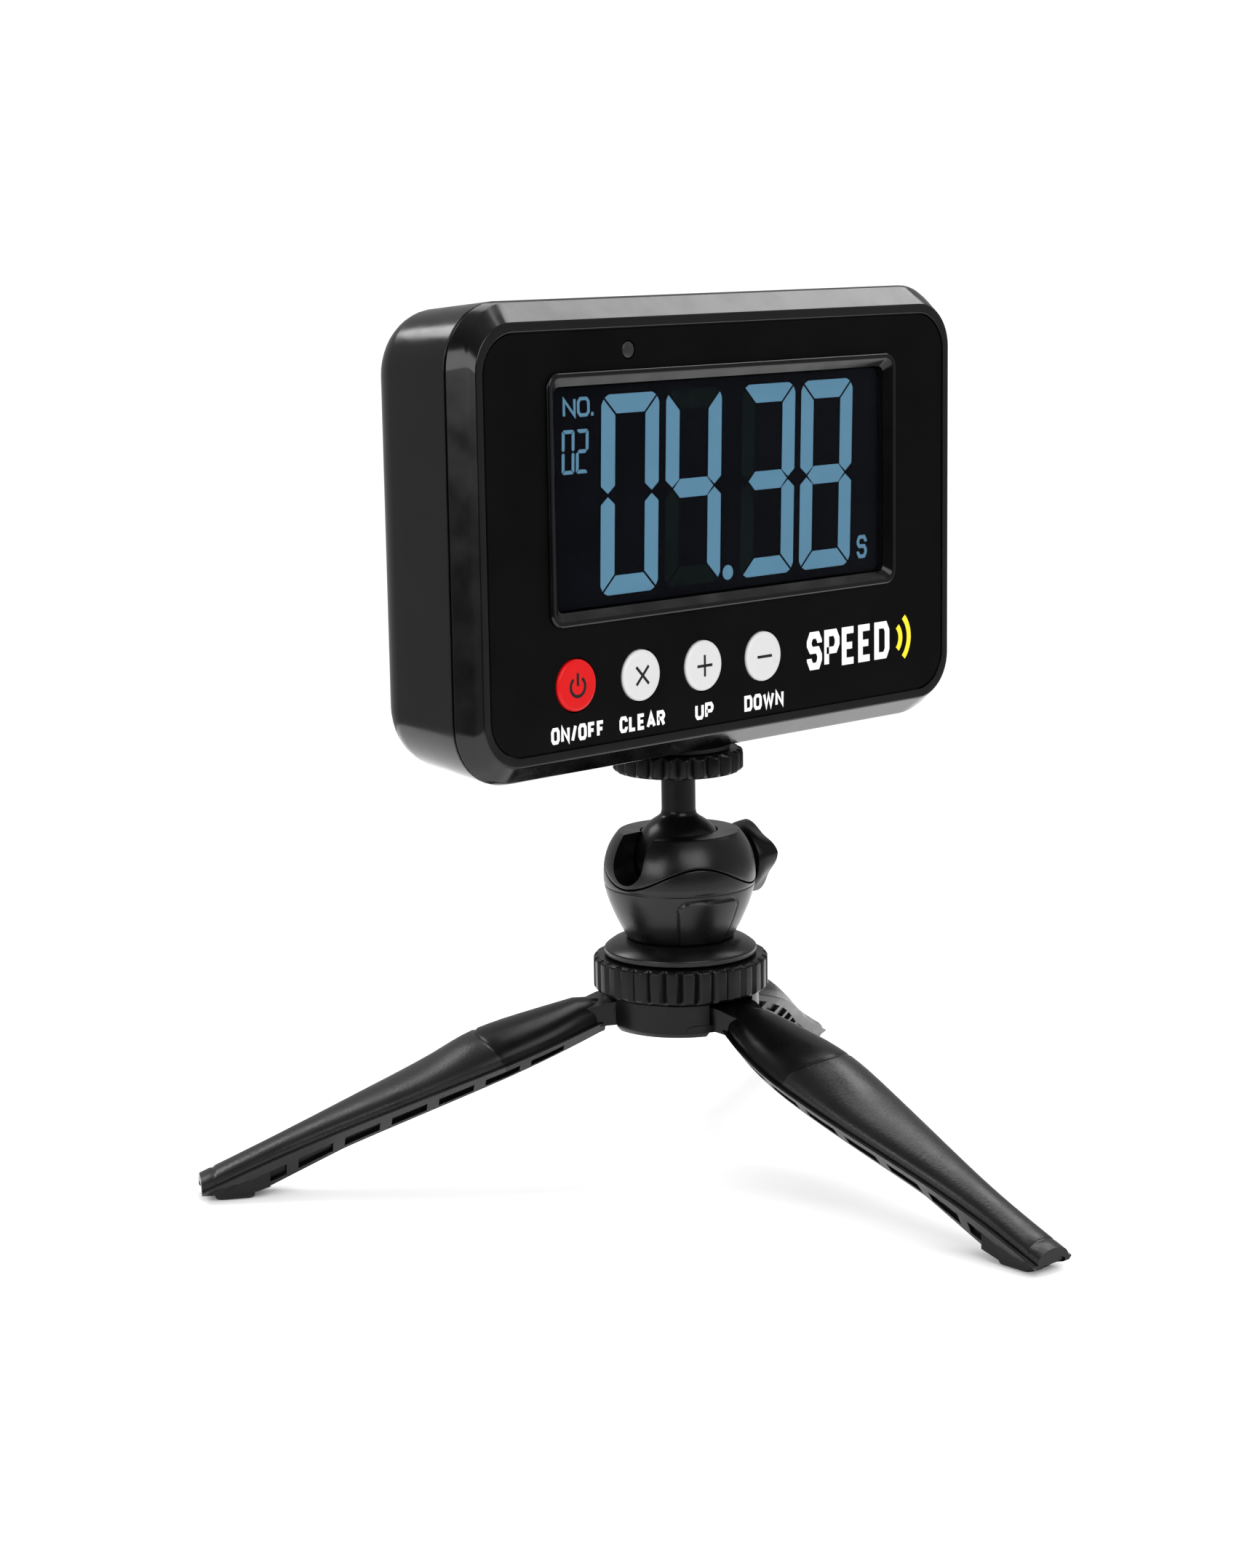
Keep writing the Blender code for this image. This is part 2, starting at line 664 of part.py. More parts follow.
def make_clamp():
    """The four-lobed knob and the screw that presses on the ball."""
    axis_z = BALL_Z - KNOB_DROP
    start, end = KNOB_X
    steps = 40

    def lobed(x, size, depth):
        ring = []
        for i in range(steps):
            turn = 2 * math.pi * i / steps
            scoop = 0.5 * (1 - math.cos(4 * (turn - math.radians(KNOB_PHASE))))
            reach = size - depth * scoop**0.75
            ring.append(on_axis(x, reach * math.cos(turn), axis_z + reach * math.sin(turn)))
        return ring

    rings = [
        lobed(start, 5.2, 0.0),
        lobed(start + 0.4, 7.1, 0.0),
        lobed(start + 2.4, 7.8, 0.7),
        lobed(end - 0.7, 8.0, 1.9),
        lobed(end, 7.4, 1.7),
    ]
    knob = loft("clamp_knob", rings, "satin_black", on_axis(0, 0, axis_z))
    bore = turned(
        "bore", ((2.3, start - 1), (2.3, 21.8)), "satin_black", on_axis(0, 0, axis_z),
        along_x(0, axis_z), 16,
    )
    cut(knob, bore)
    turned(
        "clamp_screw", ((1.4, 10.3), (2.0, 11.2), (2.0, 21.4)), "steel", on_axis(0, 0, axis_z),
        along_x(0, axis_z), 16,
    )


def make_pan_base():
    """The low domed flange that turns on the hub with the head, and its bolt."""
    flange = (
        (11.4, 50.3), (13.3, 49.9), (14.7, 49.3), (15.7, 48.6), (16.4, 48.0), (16.4, 46.8),
        (6.0, 46.8), (6.0, 45.0), (3.4, 45.0), (3.4, 50.3),
    )
    turned("pan_base", flange, "satin_black", on_axis(0, 0, BALL_Z), upright, 36, closed=True)
    bolt = ((4.6, 34.2), (4.6, 36.4), (3.0, 36.4), (3.0, 53.6), (2.6, 54.2))
    turned("pan_bolt", bolt, "steel", on_axis(0, 0, BALL_Z), upright, 16)


# The lock ring, the hub and the legs.

def make_hub():
    make_knurled(
        "lock_ring", RING_R, 0.9, RING_GROOVES, RING_Z, "satin_black",
        bore=((15.6, RING_Z[1]), (15.6, RING_Z[0])),
    )
    low, high = HUB_Z
    profile = (
        (HUB_R - 1.0, low), (HUB_R, low + 1.2), (HUB_R, high), (15.3, high), (15.3, 46.2),
        (6.3, 46.2), (6.3, 44.6), (3.3, 44.6), (3.3, 36.8), (5.0, 36.8), (5.0, 33.3), (13.4, 33.3),
        (13.4, low),
    )
    hub = turned("hub", profile, "satin_black", on_axis(0, 0, BALL_Z), upright, 36, closed=True)
    for angle in LEG_ANGLES.values():
        cut(hub, leg_slot(angle), pin_bore(angle, 1.2, 7.4))
    plate = [(13.0, low), (13.0, low + 1.4)]
    turned("hub_bottom_plate", plate, "satin_black", on_axis(0, 0, BALL_Z), upright, 36)
    plate_object = bpy.data.objects["hub_bottom_plate"]
    for angle in LEG_ANGLES.values():
        cut(plate_object, leg_slot(angle))


def leg_frame(angle):
    """Maps a leg's own (outwards, sideways, height) to the world, in millimetres."""
    turn = Matrix.Rotation(math.radians(angle), 4, "Z")
    return lambda out, side, z: turn @ Vector((out, side, 0)) + on_axis(0, 0, z)


def leg_slot(angle):
    place = leg_frame(angle)
    half, inner, outer = 6.3, 9.0, 24.0
    rings = []
    for z in (28.0, LEG_PIN_Z + 3.6):
        corners = ((inner, -half), (outer, -half), (outer, half), (inner, half))
        rings.append([place(out, side, z) for out, side in corners])
    return loft("slot", rings, "satin_black", on_axis(0, 0, BALL_Z))


def pin_bore(angle, radius, half):
    place = leg_frame(angle)
    profile = ((radius, -half), (radius, half))
    spot = lambda u, v, side: place(LEG_PIN_R + u, side, LEG_PIN_Z + v)
    return turned("bore", profile, "satin_black", on_axis(0, 0, BALL_Z), spot, 12)


def rim_height(out):
    """Height of a leg's side rim above the ground, at this distance from the axis."""
    share = (out - 60.0) / 40.0
    return BALL_Z - 47.35 - 14.9 * share - 1.3 * share**2 + 0.6 * share**3


def wall_foot(out):
    """Height of the lower edge of a leg's side walls. It levels off over the foot."""
    share = (out - 20.0) / 86.0
    level = max(rim_height(out) - 2.7 - 4.0 * share, 0.9)
    return level + 0.2 * max(0.0, out - 101.0)


def leg_width(out):
    """Half the leg's width: narrow at the hub, widest at two fifths, narrow at the foot."""
    if out < 42.0:
        share = (42.0 - out) / 22.0
        return 11.2 - 5.1 * share * share
    share = min(1.0, (out - 42.0) / 52.0)
    return 11.2 - 5.7 * (3 * share**2 - 2 * share**3)


def wall_lean(out):
    """How far a side wall leans in from its rim to its lower edge."""
    return min(0.8 * (rim_height(out) - wall_foot(out)), leg_width(out) - 3.2)


def leg_section(place, out):
    """One cross-section of the leg: a crowned skin on two leaning side walls, open below."""
    rim = rim_height(out)
    half = leg_width(out)
    foot = half - wall_lean(out)
    share = (out - 20.0) / 86.0
    crown = 5.4 - 3.2 * share
    low = wall_foot(out)
    thick = 1.8
    outer = []
    for step in range(7):
        turn = math.radians(180 * step / 6)
        outer.append((-(half - 1.0) * math.cos(turn), rim + 0.2 + crown * math.sin(turn)))
    outline = [(-foot, low), (-half, rim)] + outer + [(half, rim), (foot, low)]
    inner = []
    for step in range(5):
        turn = math.radians(180 * step / 4)
        rise = max(rim - 1.0, low + 0.3) + (crown - 0.8) * math.sin(turn)
        inner.append(((half - thick) * math.cos(turn), rise))
    outline += [(foot - thick, low)] + inner + [(-(foot - thick), low)]
    return [place(out, side, z) for side, z in outline]


def make_legs():
    for side, angle in LEG_ANGLES.items():
        place = leg_frame(angle)
        pivot = place(LEG_PIN_R, 0, LEG_PIN_Z)
        stations = (20.0, 26.0, 34.0, 45.0, 59.0, 75.0, 89.0, 96.5, 101.0, LEG_TIP_R)
        leg = loft("leg_" + side, [leg_section(place, out) for out in stations], "satin_black", pivot)

        # The root: a tongue from the shell to the barrel on the pin.
        tongue = []
        for out, half, low, high in (
            (LEG_PIN_R, 5.8, -2.6, 2.6), (18.0, 5.8, -2.8, 2.9), (24.5, 5.9, -4.4, 1.2),
        ):
            corners = ((-half, low), (half, low), (half, high), (-half, high))
            tongue.append([place(out, u, LEG_PIN_Z + v) for u, v in corners])
        join(leg, loft("tongue", tongue, "satin_black", pivot))
        barrel = turned(
            "barrel", ((2.6, -5.8), (2.6, 5.8)), "satin_black", pivot,
            lambda u, v, along, place=place: place(LEG_PIN_R + u, along, LEG_PIN_Z + v), 16,
        )
        join(leg, barrel)
        cut(leg, pin_bore(angle, 1.3, 7.0))

        # The foot: a closed end with a boss for the rubber pad.
        end = []
        for out in (90.4, 95.6, 100.2, LEG_TIP_R - 0.4):
            rim = rim_height(out)
            half = LEG_TIP_HALF - 0.9
            low = wall_foot(out) + 0.25
            corners = (
                (-half, low), (half, low), (half, rim - 0.3), (half * 0.6, rim + 1.2),
                (-half * 0.6, rim + 1.2), (-half, rim - 0.3),
            )
            end.append([place(out, u, z) for u, z in corners])
        join(leg, loft("end", end, "satin_black", pivot))
        cut(leg, pad_pocket(angle))

        pin = turned(
            "leg_pin_" + side, ((1.0, -7.2), (1.0, 7.2)), "steel", pivot,
            lambda u, v, along, place=place: place(LEG_PIN_R + u, along, LEG_PIN_Z + v), 12,
        )
        pin.location = pivot * MM
        make_foot_pad(side, angle, pivot)


def pad_pocket(angle):
    place = leg_frame(angle)
    rings = []
    for z in (-3.0, 2.4):
        corners = ((93.2, -4.0), (102.2, -4.0), (102.2, 4.0), (93.2, 4.0))
        rings.append([place(out, side, z) for out, side in corners])
    return loft("pocket", rings, "satin_black", on_axis(0, 0, BALL_Z))


def make_foot_pad(side, angle, pivot):
    place = leg_frame(angle)
    rings = []
    for z, grow in ((2.1, 0.0), (0.6, 0.0), (0.0, -0.6)):
        low, high, half = 93.5 - grow, 101.9 + grow, 3.7 + grow
        corners = ((low, -half), (high, -half), (high, half), (low, half))
        rings.append([place(out, u, z) for out, u in corners])
    loft("foot_pad_" + side, rings, "rubber", pivot)


def main():
    clear_scene()
    make_front_frame()
    make_front_panel()
    make_window()
    make_display()
    make_electronics()
    make_buttons()
    make_rear_shell()
    make_batteries()
    make_battery_cover()
    make_unit_screws()
    make_mount()
    make_ball()
    make_housing()
    make_clamp()
    make_pan_base()
    make_hub()
    make_legs()


main()
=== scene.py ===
"""The looks of the sports speed radar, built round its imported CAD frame.

Sizes are in millimetres, and MM turns them into the scene's metres. The unit's
face looks towards -Y. Depth runs back from that face.
"""

import json
import math

import bmesh
import bpy
from mathutils import Matrix, Vector


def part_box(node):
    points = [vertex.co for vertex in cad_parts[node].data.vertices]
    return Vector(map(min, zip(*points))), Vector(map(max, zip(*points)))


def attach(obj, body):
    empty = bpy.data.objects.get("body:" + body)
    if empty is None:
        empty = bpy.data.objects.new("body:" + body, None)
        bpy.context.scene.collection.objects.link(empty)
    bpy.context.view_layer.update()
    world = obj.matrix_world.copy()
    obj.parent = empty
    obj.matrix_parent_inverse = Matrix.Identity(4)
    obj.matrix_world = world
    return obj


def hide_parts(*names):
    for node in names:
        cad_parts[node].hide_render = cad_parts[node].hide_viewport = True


MM = 0.001

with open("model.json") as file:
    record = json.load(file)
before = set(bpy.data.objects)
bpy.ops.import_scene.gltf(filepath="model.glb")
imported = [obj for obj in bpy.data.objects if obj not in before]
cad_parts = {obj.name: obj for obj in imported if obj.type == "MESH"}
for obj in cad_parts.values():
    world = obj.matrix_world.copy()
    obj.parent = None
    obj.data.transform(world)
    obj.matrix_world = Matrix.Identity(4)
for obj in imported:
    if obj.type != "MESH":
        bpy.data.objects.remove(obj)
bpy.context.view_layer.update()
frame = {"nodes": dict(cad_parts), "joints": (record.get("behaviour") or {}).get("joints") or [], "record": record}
NODES = frame["nodes"]


def node_box(name):
    """Lowest and highest corner of a CAD node, in millimetres."""
    low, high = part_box(name)
    return low / MM, high / MM


def joint_place(name):
    """A joint's anchor in millimetres."""
    for joint in frame["joints"]:
        if joint["name"] == name:
            return Vector(joint["pos_m"]) / MM
    raise ValueError(name)


# Places taken from the frame.
BALL = joint_place("ball_tilt")
AXIS_X, AXIS_Y, BALL_Z = BALL
PANEL_LOW, PANEL_HIGH = node_box("front_panel")
FACE_Y = PANEL_LOW.y - 0.1
FACE_Z = (PANEL_LOW.z + PANEL_HIGH.z) / 2
PANEL_HALF = ((PANEL_HIGH.x - PANEL_LOW.x) / 2, (PANEL_HIGH.z - PANEL_LOW.z) / 2)
AXIS_DEPTH = AXIS_Y - FACE_Y
BEZEL_LOW, BEZEL_HIGH = node_box("window_bezel")
WINDOW_CENTRE = (
    (BEZEL_LOW.x + BEZEL_HIGH.x) / 2 - AXIS_X,
    (BEZEL_LOW.z + BEZEL_HIGH.z) / 2 - FACE_Z,
)
LEG_PIN = joint_place("front_leg_fold")
LEG_PIN_Z = LEG_PIN.z
LEG_PIN_R = (LEG_PIN - BALL).xy.length
LEG_TIP_R = 104.8
HUB_LOW, HUB_HIGH = node_box("hub")
HUB_BOTTOM = HUB_LOW.z
HUB_R = (HUB_HIGH.x - HUB_LOW.x) / 2
LEG_ANGLES = {"front": -92.0, "right": 28.0, "left": 148.0}

# Sizes of the case.
SEAM_DEPTH = 5.6
SEAM_GAP = 0.4
SHELL_DEPTH = 33.0
SEAM_HALF = (72.0, 47.3)
SEAM_RADIUS = 13.0
REAR_ROUND = 9.0
DRAFT = 0.09
WALL = 2.2
GAP = 0.3
BUTTONS = ("power", "clear", "up", "down")
BUTTON_R = 5.25
SCREW_SPOTS = ((-61.0, 33.0), (61.0, 33.0), (-61.0, -33.0), (61.0, -33.0))
COVER_HALF = (56.5, 19.2)
COVER_CENTRE_Z = 6.2
LCD_DEPTH = 2.0

# Sizes of the head.
BALL_R = 10.0
HEAD_R = 16.35
HEAD_TOP = 6.0
BELLY_Z = BALL_Z - 4.1
NOTCH_HALF = 4.4
KNOB_X = (17.0, 23.2)
KNOB_DROP = 3.0
KNOB_PHASE = math.radians(168.0)


# Camera, stage and light. These places and sizes are in metres.

CAMERA_PLACE = (-0.45959, -0.43766, 0.20171)
CAMERA_TURN = {"azimuth": -43.912, "elevation": 10.328, "roll": 0.928}
CAMERA_LENS = 70.88
FLOOR_R = 0.36
MIDDLE = (0.0, 0.0, 0.12)

# The world's brightness: as the floor sees it, and as the object mirrors it
# away from and towards its dark side.
WHITE = 1.1
MIRRORED = 0.42
MIRRORED_DARK = 0.03
DARK_SIDE = (-0.66, -0.72, 0.22)

# Each softbox's name, place, side and radiance.
SOFTBOXES = (
    ("key", (1.0, 0.05, 1.155), 0.55, 4.6),
    ("back", (-0.25, 1.10, 1.05), 0.5, 6.0),
    ("left", (-1.23, -0.12, 0.47), 0.7, 4.2),
    ("front", (-0.33, -1.01, 0.78), 0.8, 4.0),
    ("overhead", (0.38, 0.39, 1.3), 0.7, 4.0),
)


def add_camera():
    """The main view, with a small roll about the line of sight."""
    data = bpy.data.cameras.new("camera")
    data.sensor_fit = "VERTICAL"
    data.sensor_height = 36.0
    data.lens = CAMERA_LENS
    data.clip_start = 0.01
    azimuth, elevation, roll = (math.radians(turn) for turn in CAMERA_TURN.values())
    back = Vector(
        (
            math.sin(azimuth) * math.cos(elevation),
            -math.cos(azimuth) * math.cos(elevation),
            math.sin(elevation),
        )
    )
    turn = back.to_track_quat("Z", "Y").to_matrix() @ Matrix.Rotation(-roll, 3, "Z")
    camera = bpy.data.objects.new("camera", data)
    camera.matrix_world = Matrix.Translation(CAMERA_PLACE) @ turn.to_4x4()
    bpy.context.scene.collection.objects.link(camera)
    bpy.context.scene.camera = camera


def add_floor():
    """A white disc. The world behind it is as white, so its edge doesn't show."""
    mesh = bpy.data.meshes.new("floor")
    rim = [(u, v, 0.0) for u, v in circle(FLOOR_R, 96)]
    mesh.from_pydata(rim, [], [tuple(range(len(rim)))])
    floor = bpy.data.objects.new("floor", mesh)
    bpy.context.scene.collection.objects.link(floor)
    paint = bpy.data.materials.new("floor_paint")
    paint.use_nodes = True
    tree = paint.node_tree
    shader = tree.nodes["Principled BSDF"]
    set_inputs(shader, {"Roughness": 0.7, "Specular IOR Level": 0.2})
    vary_colour(tree, shader, (0.93, 0.93, 0.935), 0.01, 60.0)
    mesh.materials.append(paint)


def add_softbox(name, place, size, radiance):
    """A square area light turned towards the object. The camera doesn't see it."""
    data = bpy.data.lights.new(name, "AREA")
    data.shape = "SQUARE"
    data.size = size
    data.energy = radiance * math.pi * size * size
    light = bpy.data.objects.new(name, data)
    away = Vector(place) - Vector(MIDDLE)
    light.matrix_world = Matrix.Translation(place) @ away.to_track_quat("Z", "Y").to_matrix().to_4x4()
    light.visible_camera = False
    bpy.context.scene.collection.objects.link(light)


def add_world():
    """An even white studio. What the object mirrors has a dark side, in front of the object."""
    world = bpy.data.worlds.new("studio")
    bpy.context.scene.world = world
    world.use_nodes = True
    tree = world.node_tree
    coords = tree.nodes.new("ShaderNodeTexCoord")
    toward = tree.nodes.new("ShaderNodeVectorMath")
    toward.operation = "DOT_PRODUCT"
    toward.inputs[1].default_value = DARK_SIDE
    ramp = tree.nodes.new("ShaderNodeValToRGB")
    low, high = ramp.color_ramp.elements
    low.position, low.color = 0.45, (MIRRORED, MIRRORED, MIRRORED, 1.0)
    high.position, high.color = 0.85, (MIRRORED_DARK, MIRRORED_DARK, MIRRORED_DARK, 1.0)
    mirrored = tree.nodes.new("ShaderNodeLightPath").outputs["Is Glossy Ray"]
    mix = tree.nodes.new("ShaderNodeMix")
    mix.data_type = "RGBA"
    mix.inputs[6].default_value = (WHITE, WHITE, WHITE, 1.0)
    tree.links.new(coords.outputs["Generated"], toward.inputs[0])
    tree.links.new(toward.outputs["Value"], ramp.inputs[0])
    tree.links.new(mirrored, mix.inputs[0])
    tree.links.new(ramp.outputs[0], mix.inputs[7])
    tree.links.new(mix.outputs[2], tree.nodes["Background"].inputs["Color"])
    world.cycles.sampling_method = "NONE"


def add_light():
    add_world()
    for softbox in SOFTBOXES:
        add_softbox(*softbox)
    bpy.context.scene.view_settings.view_transform = "Standard"


# Materials.

def set_inputs(node, values):
    for name, value in values.items():
        node.inputs[name].default_value = value


def noise(tree, scale, detail=2.0, offset=0.0):
    """A noise value over the object, with scale in waves a metre."""
    coords = tree.nodes.new("ShaderNodeTexCoord")
    shift = tree.nodes.new("ShaderNodeVectorMath")
    shift.operation = "ADD"
    shift.inputs[1].default_value = (offset, offset * 0.7, offset * 0.3)
    texture = tree.nodes.new("ShaderNodeTexNoise")
    set_inputs(texture, {"Scale": scale, "Detail": detail})
    tree.links.new(coords.outputs["Object"], shift.inputs[0])
    tree.links.new(shift.outputs[0], texture.inputs["Vector"])
    return texture.outputs[0]


def spread(tree, value, low, high):
    """Maps a noise value to the range from low to high."""
    ranged = tree.nodes.new("ShaderNodeMapRange")
    set_inputs(ranged, {"From Min": 0.3, "From Max": 0.7, "To Min": low, "To Max": high})
    tree.links.new(value, ranged.inputs["Value"])
    return ranged.outputs[0]


def vary_colour(tree, shader, colour, amount, scale):
    """Colour that drifts a little over the surface."""
    mix = tree.nodes.new("ShaderNodeMix")
    mix.data_type = "RGBA"
    darker = (*[part * (1 - amount) for part in colour], 1.0)
    lighter = (*[min(1.0, part * (1 + amount)) for part in colour], 1.0)
    set_inputs(mix, {6: darker, 7: lighter})
    tree.links.new(spread(tree, noise(tree, scale, 4.0), 0.0, 1.0), mix.inputs[0])
    tree.links.new(mix.outputs[2], shader.inputs["Base Color"])


def surface(
    name, colour, roughness, specular=0.5, metallic=0.0, vary=0.2, smudge=0.05,
    grain=0.3, height=0.004, glow=0.0,
):
    """A moulded or metal finish: grain is the bump's size and height its depth, in millimetres."""
    made = bpy.data.materials.new(name)
    made.use_nodes = True
    tree = made.node_tree
    shader = tree.nodes["Principled BSDF"]
    vary_colour(tree, shader, colour, vary, 70.0)
    smooth = max(0.02, roughness - smudge)
    rough = spread(tree, noise(tree, 160.0, 5.0, 0.37), smooth, roughness + smudge)
    tree.links.new(rough, shader.inputs["Roughness"])
    set_inputs(shader, {"Specular IOR Level": specular, "Metallic": metallic})
    if glow:
        set_inputs(shader, {"Emission Color": (*colour, 1.0), "Emission Strength": glow})
    bump = tree.nodes.new("ShaderNodeBump")
    set_inputs(bump, {"Strength": 1.0, "Distance": height * MM})
    tree.links.new(noise(tree, 1.0 / (grain * MM), 3.0, 0.11), bump.inputs["Height"])
    tree.links.new(bump.outputs[0], shader.inputs["Normal"])
    return made


def clear_surface(name, tint, gloss):
    """Thin clear plastic: see-through, with a faint reflection that grows at grazing angles."""
    made = bpy.data.materials.new(name)
    made.use_nodes = True
    tree = made.node_tree
    tree.nodes.remove(tree.nodes["Principled BSDF"])
    see = tree.nodes.new("ShaderNodeBsdfTransparent")
    see.inputs["Color"].default_value = (*tint, 1.0)
    shine = tree.nodes.new("ShaderNodeBsdfGlossy")
    tree.links.new(spread(tree, noise(tree, 90.0, 4.0), 0.03, 0.07), shine.inputs["Roughness"])
    edge = tree.nodes.new("ShaderNodeLayerWeight")
    edge.inputs["Blend"].default_value = 0.5
    rise = tree.nodes.new("ShaderNodeMath")
    rise.operation = "POWER"
    rise.inputs[1].default_value = 4.0
    share = tree.nodes.new("ShaderNodeMath")
    share.operation = "MULTIPLY"
    share.inputs[1].default_value = gloss
    mix = tree.nodes.new("ShaderNodeMixShader")
    tree.links.new(edge.outputs["Facing"], rise.inputs[0])
    tree.links.new(rise.outputs[0], share.inputs[0])
    tree.links.new(share.outputs[0], mix.inputs[0])
    tree.links.new(see.outputs[0], mix.inputs[1])
    tree.links.new(shine.outputs[0], mix.inputs[2])
    tree.links.new(mix.outputs[0], tree.nodes["Material Output"].inputs["Surface"])
    return made


BLACK = (0.0016, 0.0016, 0.0018)
FILM_BLACK = (0.0024, 0.0024, 0.0026)
DISPLAY_BLUE = (0.053, 0.118, 0.165)
FINISH = {
    "satin_black": surface("satin_black_plastic", BLACK, 0.30, 0.20, grain=0.35, height=0.006),
    "shell_black": surface("shell_black_plastic", BLACK, 0.18, 0.35, grain=0.5, height=0.0012),
    "gloss_black": surface("gloss_black_plastic", BLACK, 0.16, 0.3, grain=0.4, height=0.001),
    "panel_black": surface("panel_black_film", FILM_BLACK, 0.40, 0.03, grain=0.12, height=0.002),
    "clear": clear_surface("clear_plastic", (0.98, 0.985, 1.0), 0.3),
    "lcd": surface("lcd_black_glass", (0.0016, 0.0018, 0.0028), 0.12, 0.02, grain=0.25, height=0.0004),
    "white_plastic": surface("white_plastic", (0.48, 0.48, 0.48), 0.32, 0.3, vary=0.02, height=0.003),
    "red_plastic": surface("red_plastic", (0.47, 0.004, 0.005), 0.28, 0.16, vary=0.05, height=0.002),
    "board_green": surface("board_green_mask", (0.02, 0.13, 0.05), 0.4, vary=0.3, height=0.01),
    "component_black": surface("component_black_resin", (0.02, 0.02, 0.02), 0.5, grain=0.2, height=0.01),
    "steel": surface("steel_plated", (0.42, 0.42, 0.43), 0.28, metallic=1.0, smudge=0.1, height=0.002),
    "brass": surface("brass_turned", (0.62, 0.44, 0.18), 0.3, metallic=1.0, smudge=0.1, height=0.003),
    "rubber": surface("rubber_black", (0.012, 0.012, 0.012), 0.75, 0.3, grain=0.5, height=0.02),
    "cell_jacket": surface("cell_jacket_film", (0.04, 0.09, 0.22), 0.3, vary=0.15, height=0.003),
}
SATIN = FINISH["satin_black"]
EXTRA = {
    "head": surface("head_black_plastic", BLACK, 0.29, 0.36, grain=0.45, height=0.012),
    "ball": surface("ball_black_plastic", BLACK, 0.25, 0.22, grain=0.5, height=0.006),
    "pebble": surface("leg_pebble_plastic", BLACK, 0.34, 0.42, grain=0.7, height=0.05),
    "ink": surface("white_ink", (0.66, 0.66, 0.66), 0.45, 0.3, vary=0.03, grain=0.15, height=0.004),
    "dark_ink": surface("black_ink", (0.006, 0.006, 0.006), 0.45, 0.2, grain=0.15, height=0.004),
    "amber_ink": surface("amber_ink", (0.86, 0.60, 0.01), 0.45, 0.3, vary=0.04, grain=0.15, height=0.004),
    "segment": surface("lcd_lit_segment", DISPLAY_BLUE, 0.5, 0.03, vary=0.03, height=0.0005, glow=0.6),
    "ghost": surface("lcd_dark_segment", (0.0024, 0.0044, 0.0042), 0.3, 0.02, height=0.0005),
    "sensor": surface("sensor_grey", (0.018, 0.018, 0.019), 0.3, 0.25, height=0.002),
}


def dress_nodes():
    """Gives every CAD node that stays in view the worked finish of its slot."""
    for node in NODES.values():
        for slot in node.material_slots:
            name = slot.material.name.split(".")[0]
            slot.material = FINISH[name]


# Places.

def on_axis(x, y, z):
    """A point beside the tripod's axis, at a height above the ground."""
    return Vector((x + AXIS_X, y + AXIS_Y, z))


def on_unit(x, depth, z):
    """A point of the display unit, from the middle of its face."""
    return Vector((x + AXIS_X, depth + FACE_Y, z + FACE_Z))


def face_place(u, v, depth):
    return on_unit(u, depth, v)


def along_depth(x, z):
    return lambda u, v, depth: on_unit(x + u, depth, z + v)


def along_x(y, z):
    return lambda u, v, x: on_axis(x, y + u, z + v)


# Outlines and rings.

def outline(half_w, half_h, radius, centre=(0.0, 0.0), steps=12):
    """A rectangle with round corners, anticlockwise."""
    points = []
    for corner, (sign_u, sign_v) in enumerate(((1, 1), (-1, 1), (-1, -1), (1, -1))):
        mid_u = centre[0] + sign_u * (half_w - radius)
        mid_v = centre[1] + sign_v * (half_h - radius)
        for step in range(steps + 1):
            turn = math.radians(90 * corner + 90 * step / steps)
            points.append((mid_u + radius * math.cos(turn), mid_v + radius * math.sin(turn)))
    return points


def circle(radius, steps):
    turns = [2 * math.pi * i / steps for i in range(steps)]
    return [(radius * math.cos(turn), radius * math.sin(turn)) for turn in turns]


def unit_ring(points, depth):
    return [on_unit(u, depth, v) for u, v in points]


def filleted(rings, reaches, steps=4):
    """Rounds the corner at each ring named in reaches, which gives how far the arc reaches."""
    made = []
    count = len(rings)
    for index, ring in enumerate(rings):
        reach = reaches.get(index)
        if not reach:
            made.append(ring)
            continue
        before = rings[index - 1]
        after = rings[(index + 1) % count]
        starts, ends = [], []
        for point, back, ahead in zip(ring, before, after):
            starts.append(point + (back - point) * min(0.48, reach / max((back - point).length, 1e-6)))
            ends.append(point + (ahead - point) * min(0.48, reach / max((ahead - point).length, 1e-6)))
        for step in range(steps + 1):
            t = step / steps
            made.append(
                [
                    start * (1 - t) ** 2 + point * 2 * t * (1 - t) + end * t * t
                    for start, point, end in zip(starts, ring, ends)
                ]
            )
    return made


# Solids.

def add_mesh(name, shape, material):
    bmesh.ops.recalc_face_normals(shape, faces=shape.faces)
    bmesh.ops.transform(shape, matrix=Matrix.Scale(MM, 4), verts=shape.verts)
    mesh = bpy.data.meshes.new(name)
    shape.to_mesh(mesh)
    shape.free()
    mesh.materials.append(material)
    made = bpy.data.objects.new(name, mesh)
    bpy.context.scene.collection.objects.link(made)
    return made


def skin(shape, rings, closed=False):
    """Adds a solid through rings of equal length to a mesh in work."""
    loops = [[shape.verts.new(point) for point in ring] for ring in rings]
    pairs = list(zip(loops, loops[1:]))
    if closed:
        pairs.append((loops[-1], loops[0]))
    else:
        shape.faces.new(loops[0])
        shape.faces.new(loops[-1])
    for lower, upper in pairs:
        for i in range(len(lower)):
            after = (i + 1) % len(lower)
            shape.faces.new((lower[i], lower[after], upper[after], upper[i]))


def loft(name, rings, material=SATIN, closed=False):
    shape = bmesh.new()
    skin(shape, rings, closed)
    return add_mesh(name, shape, material)


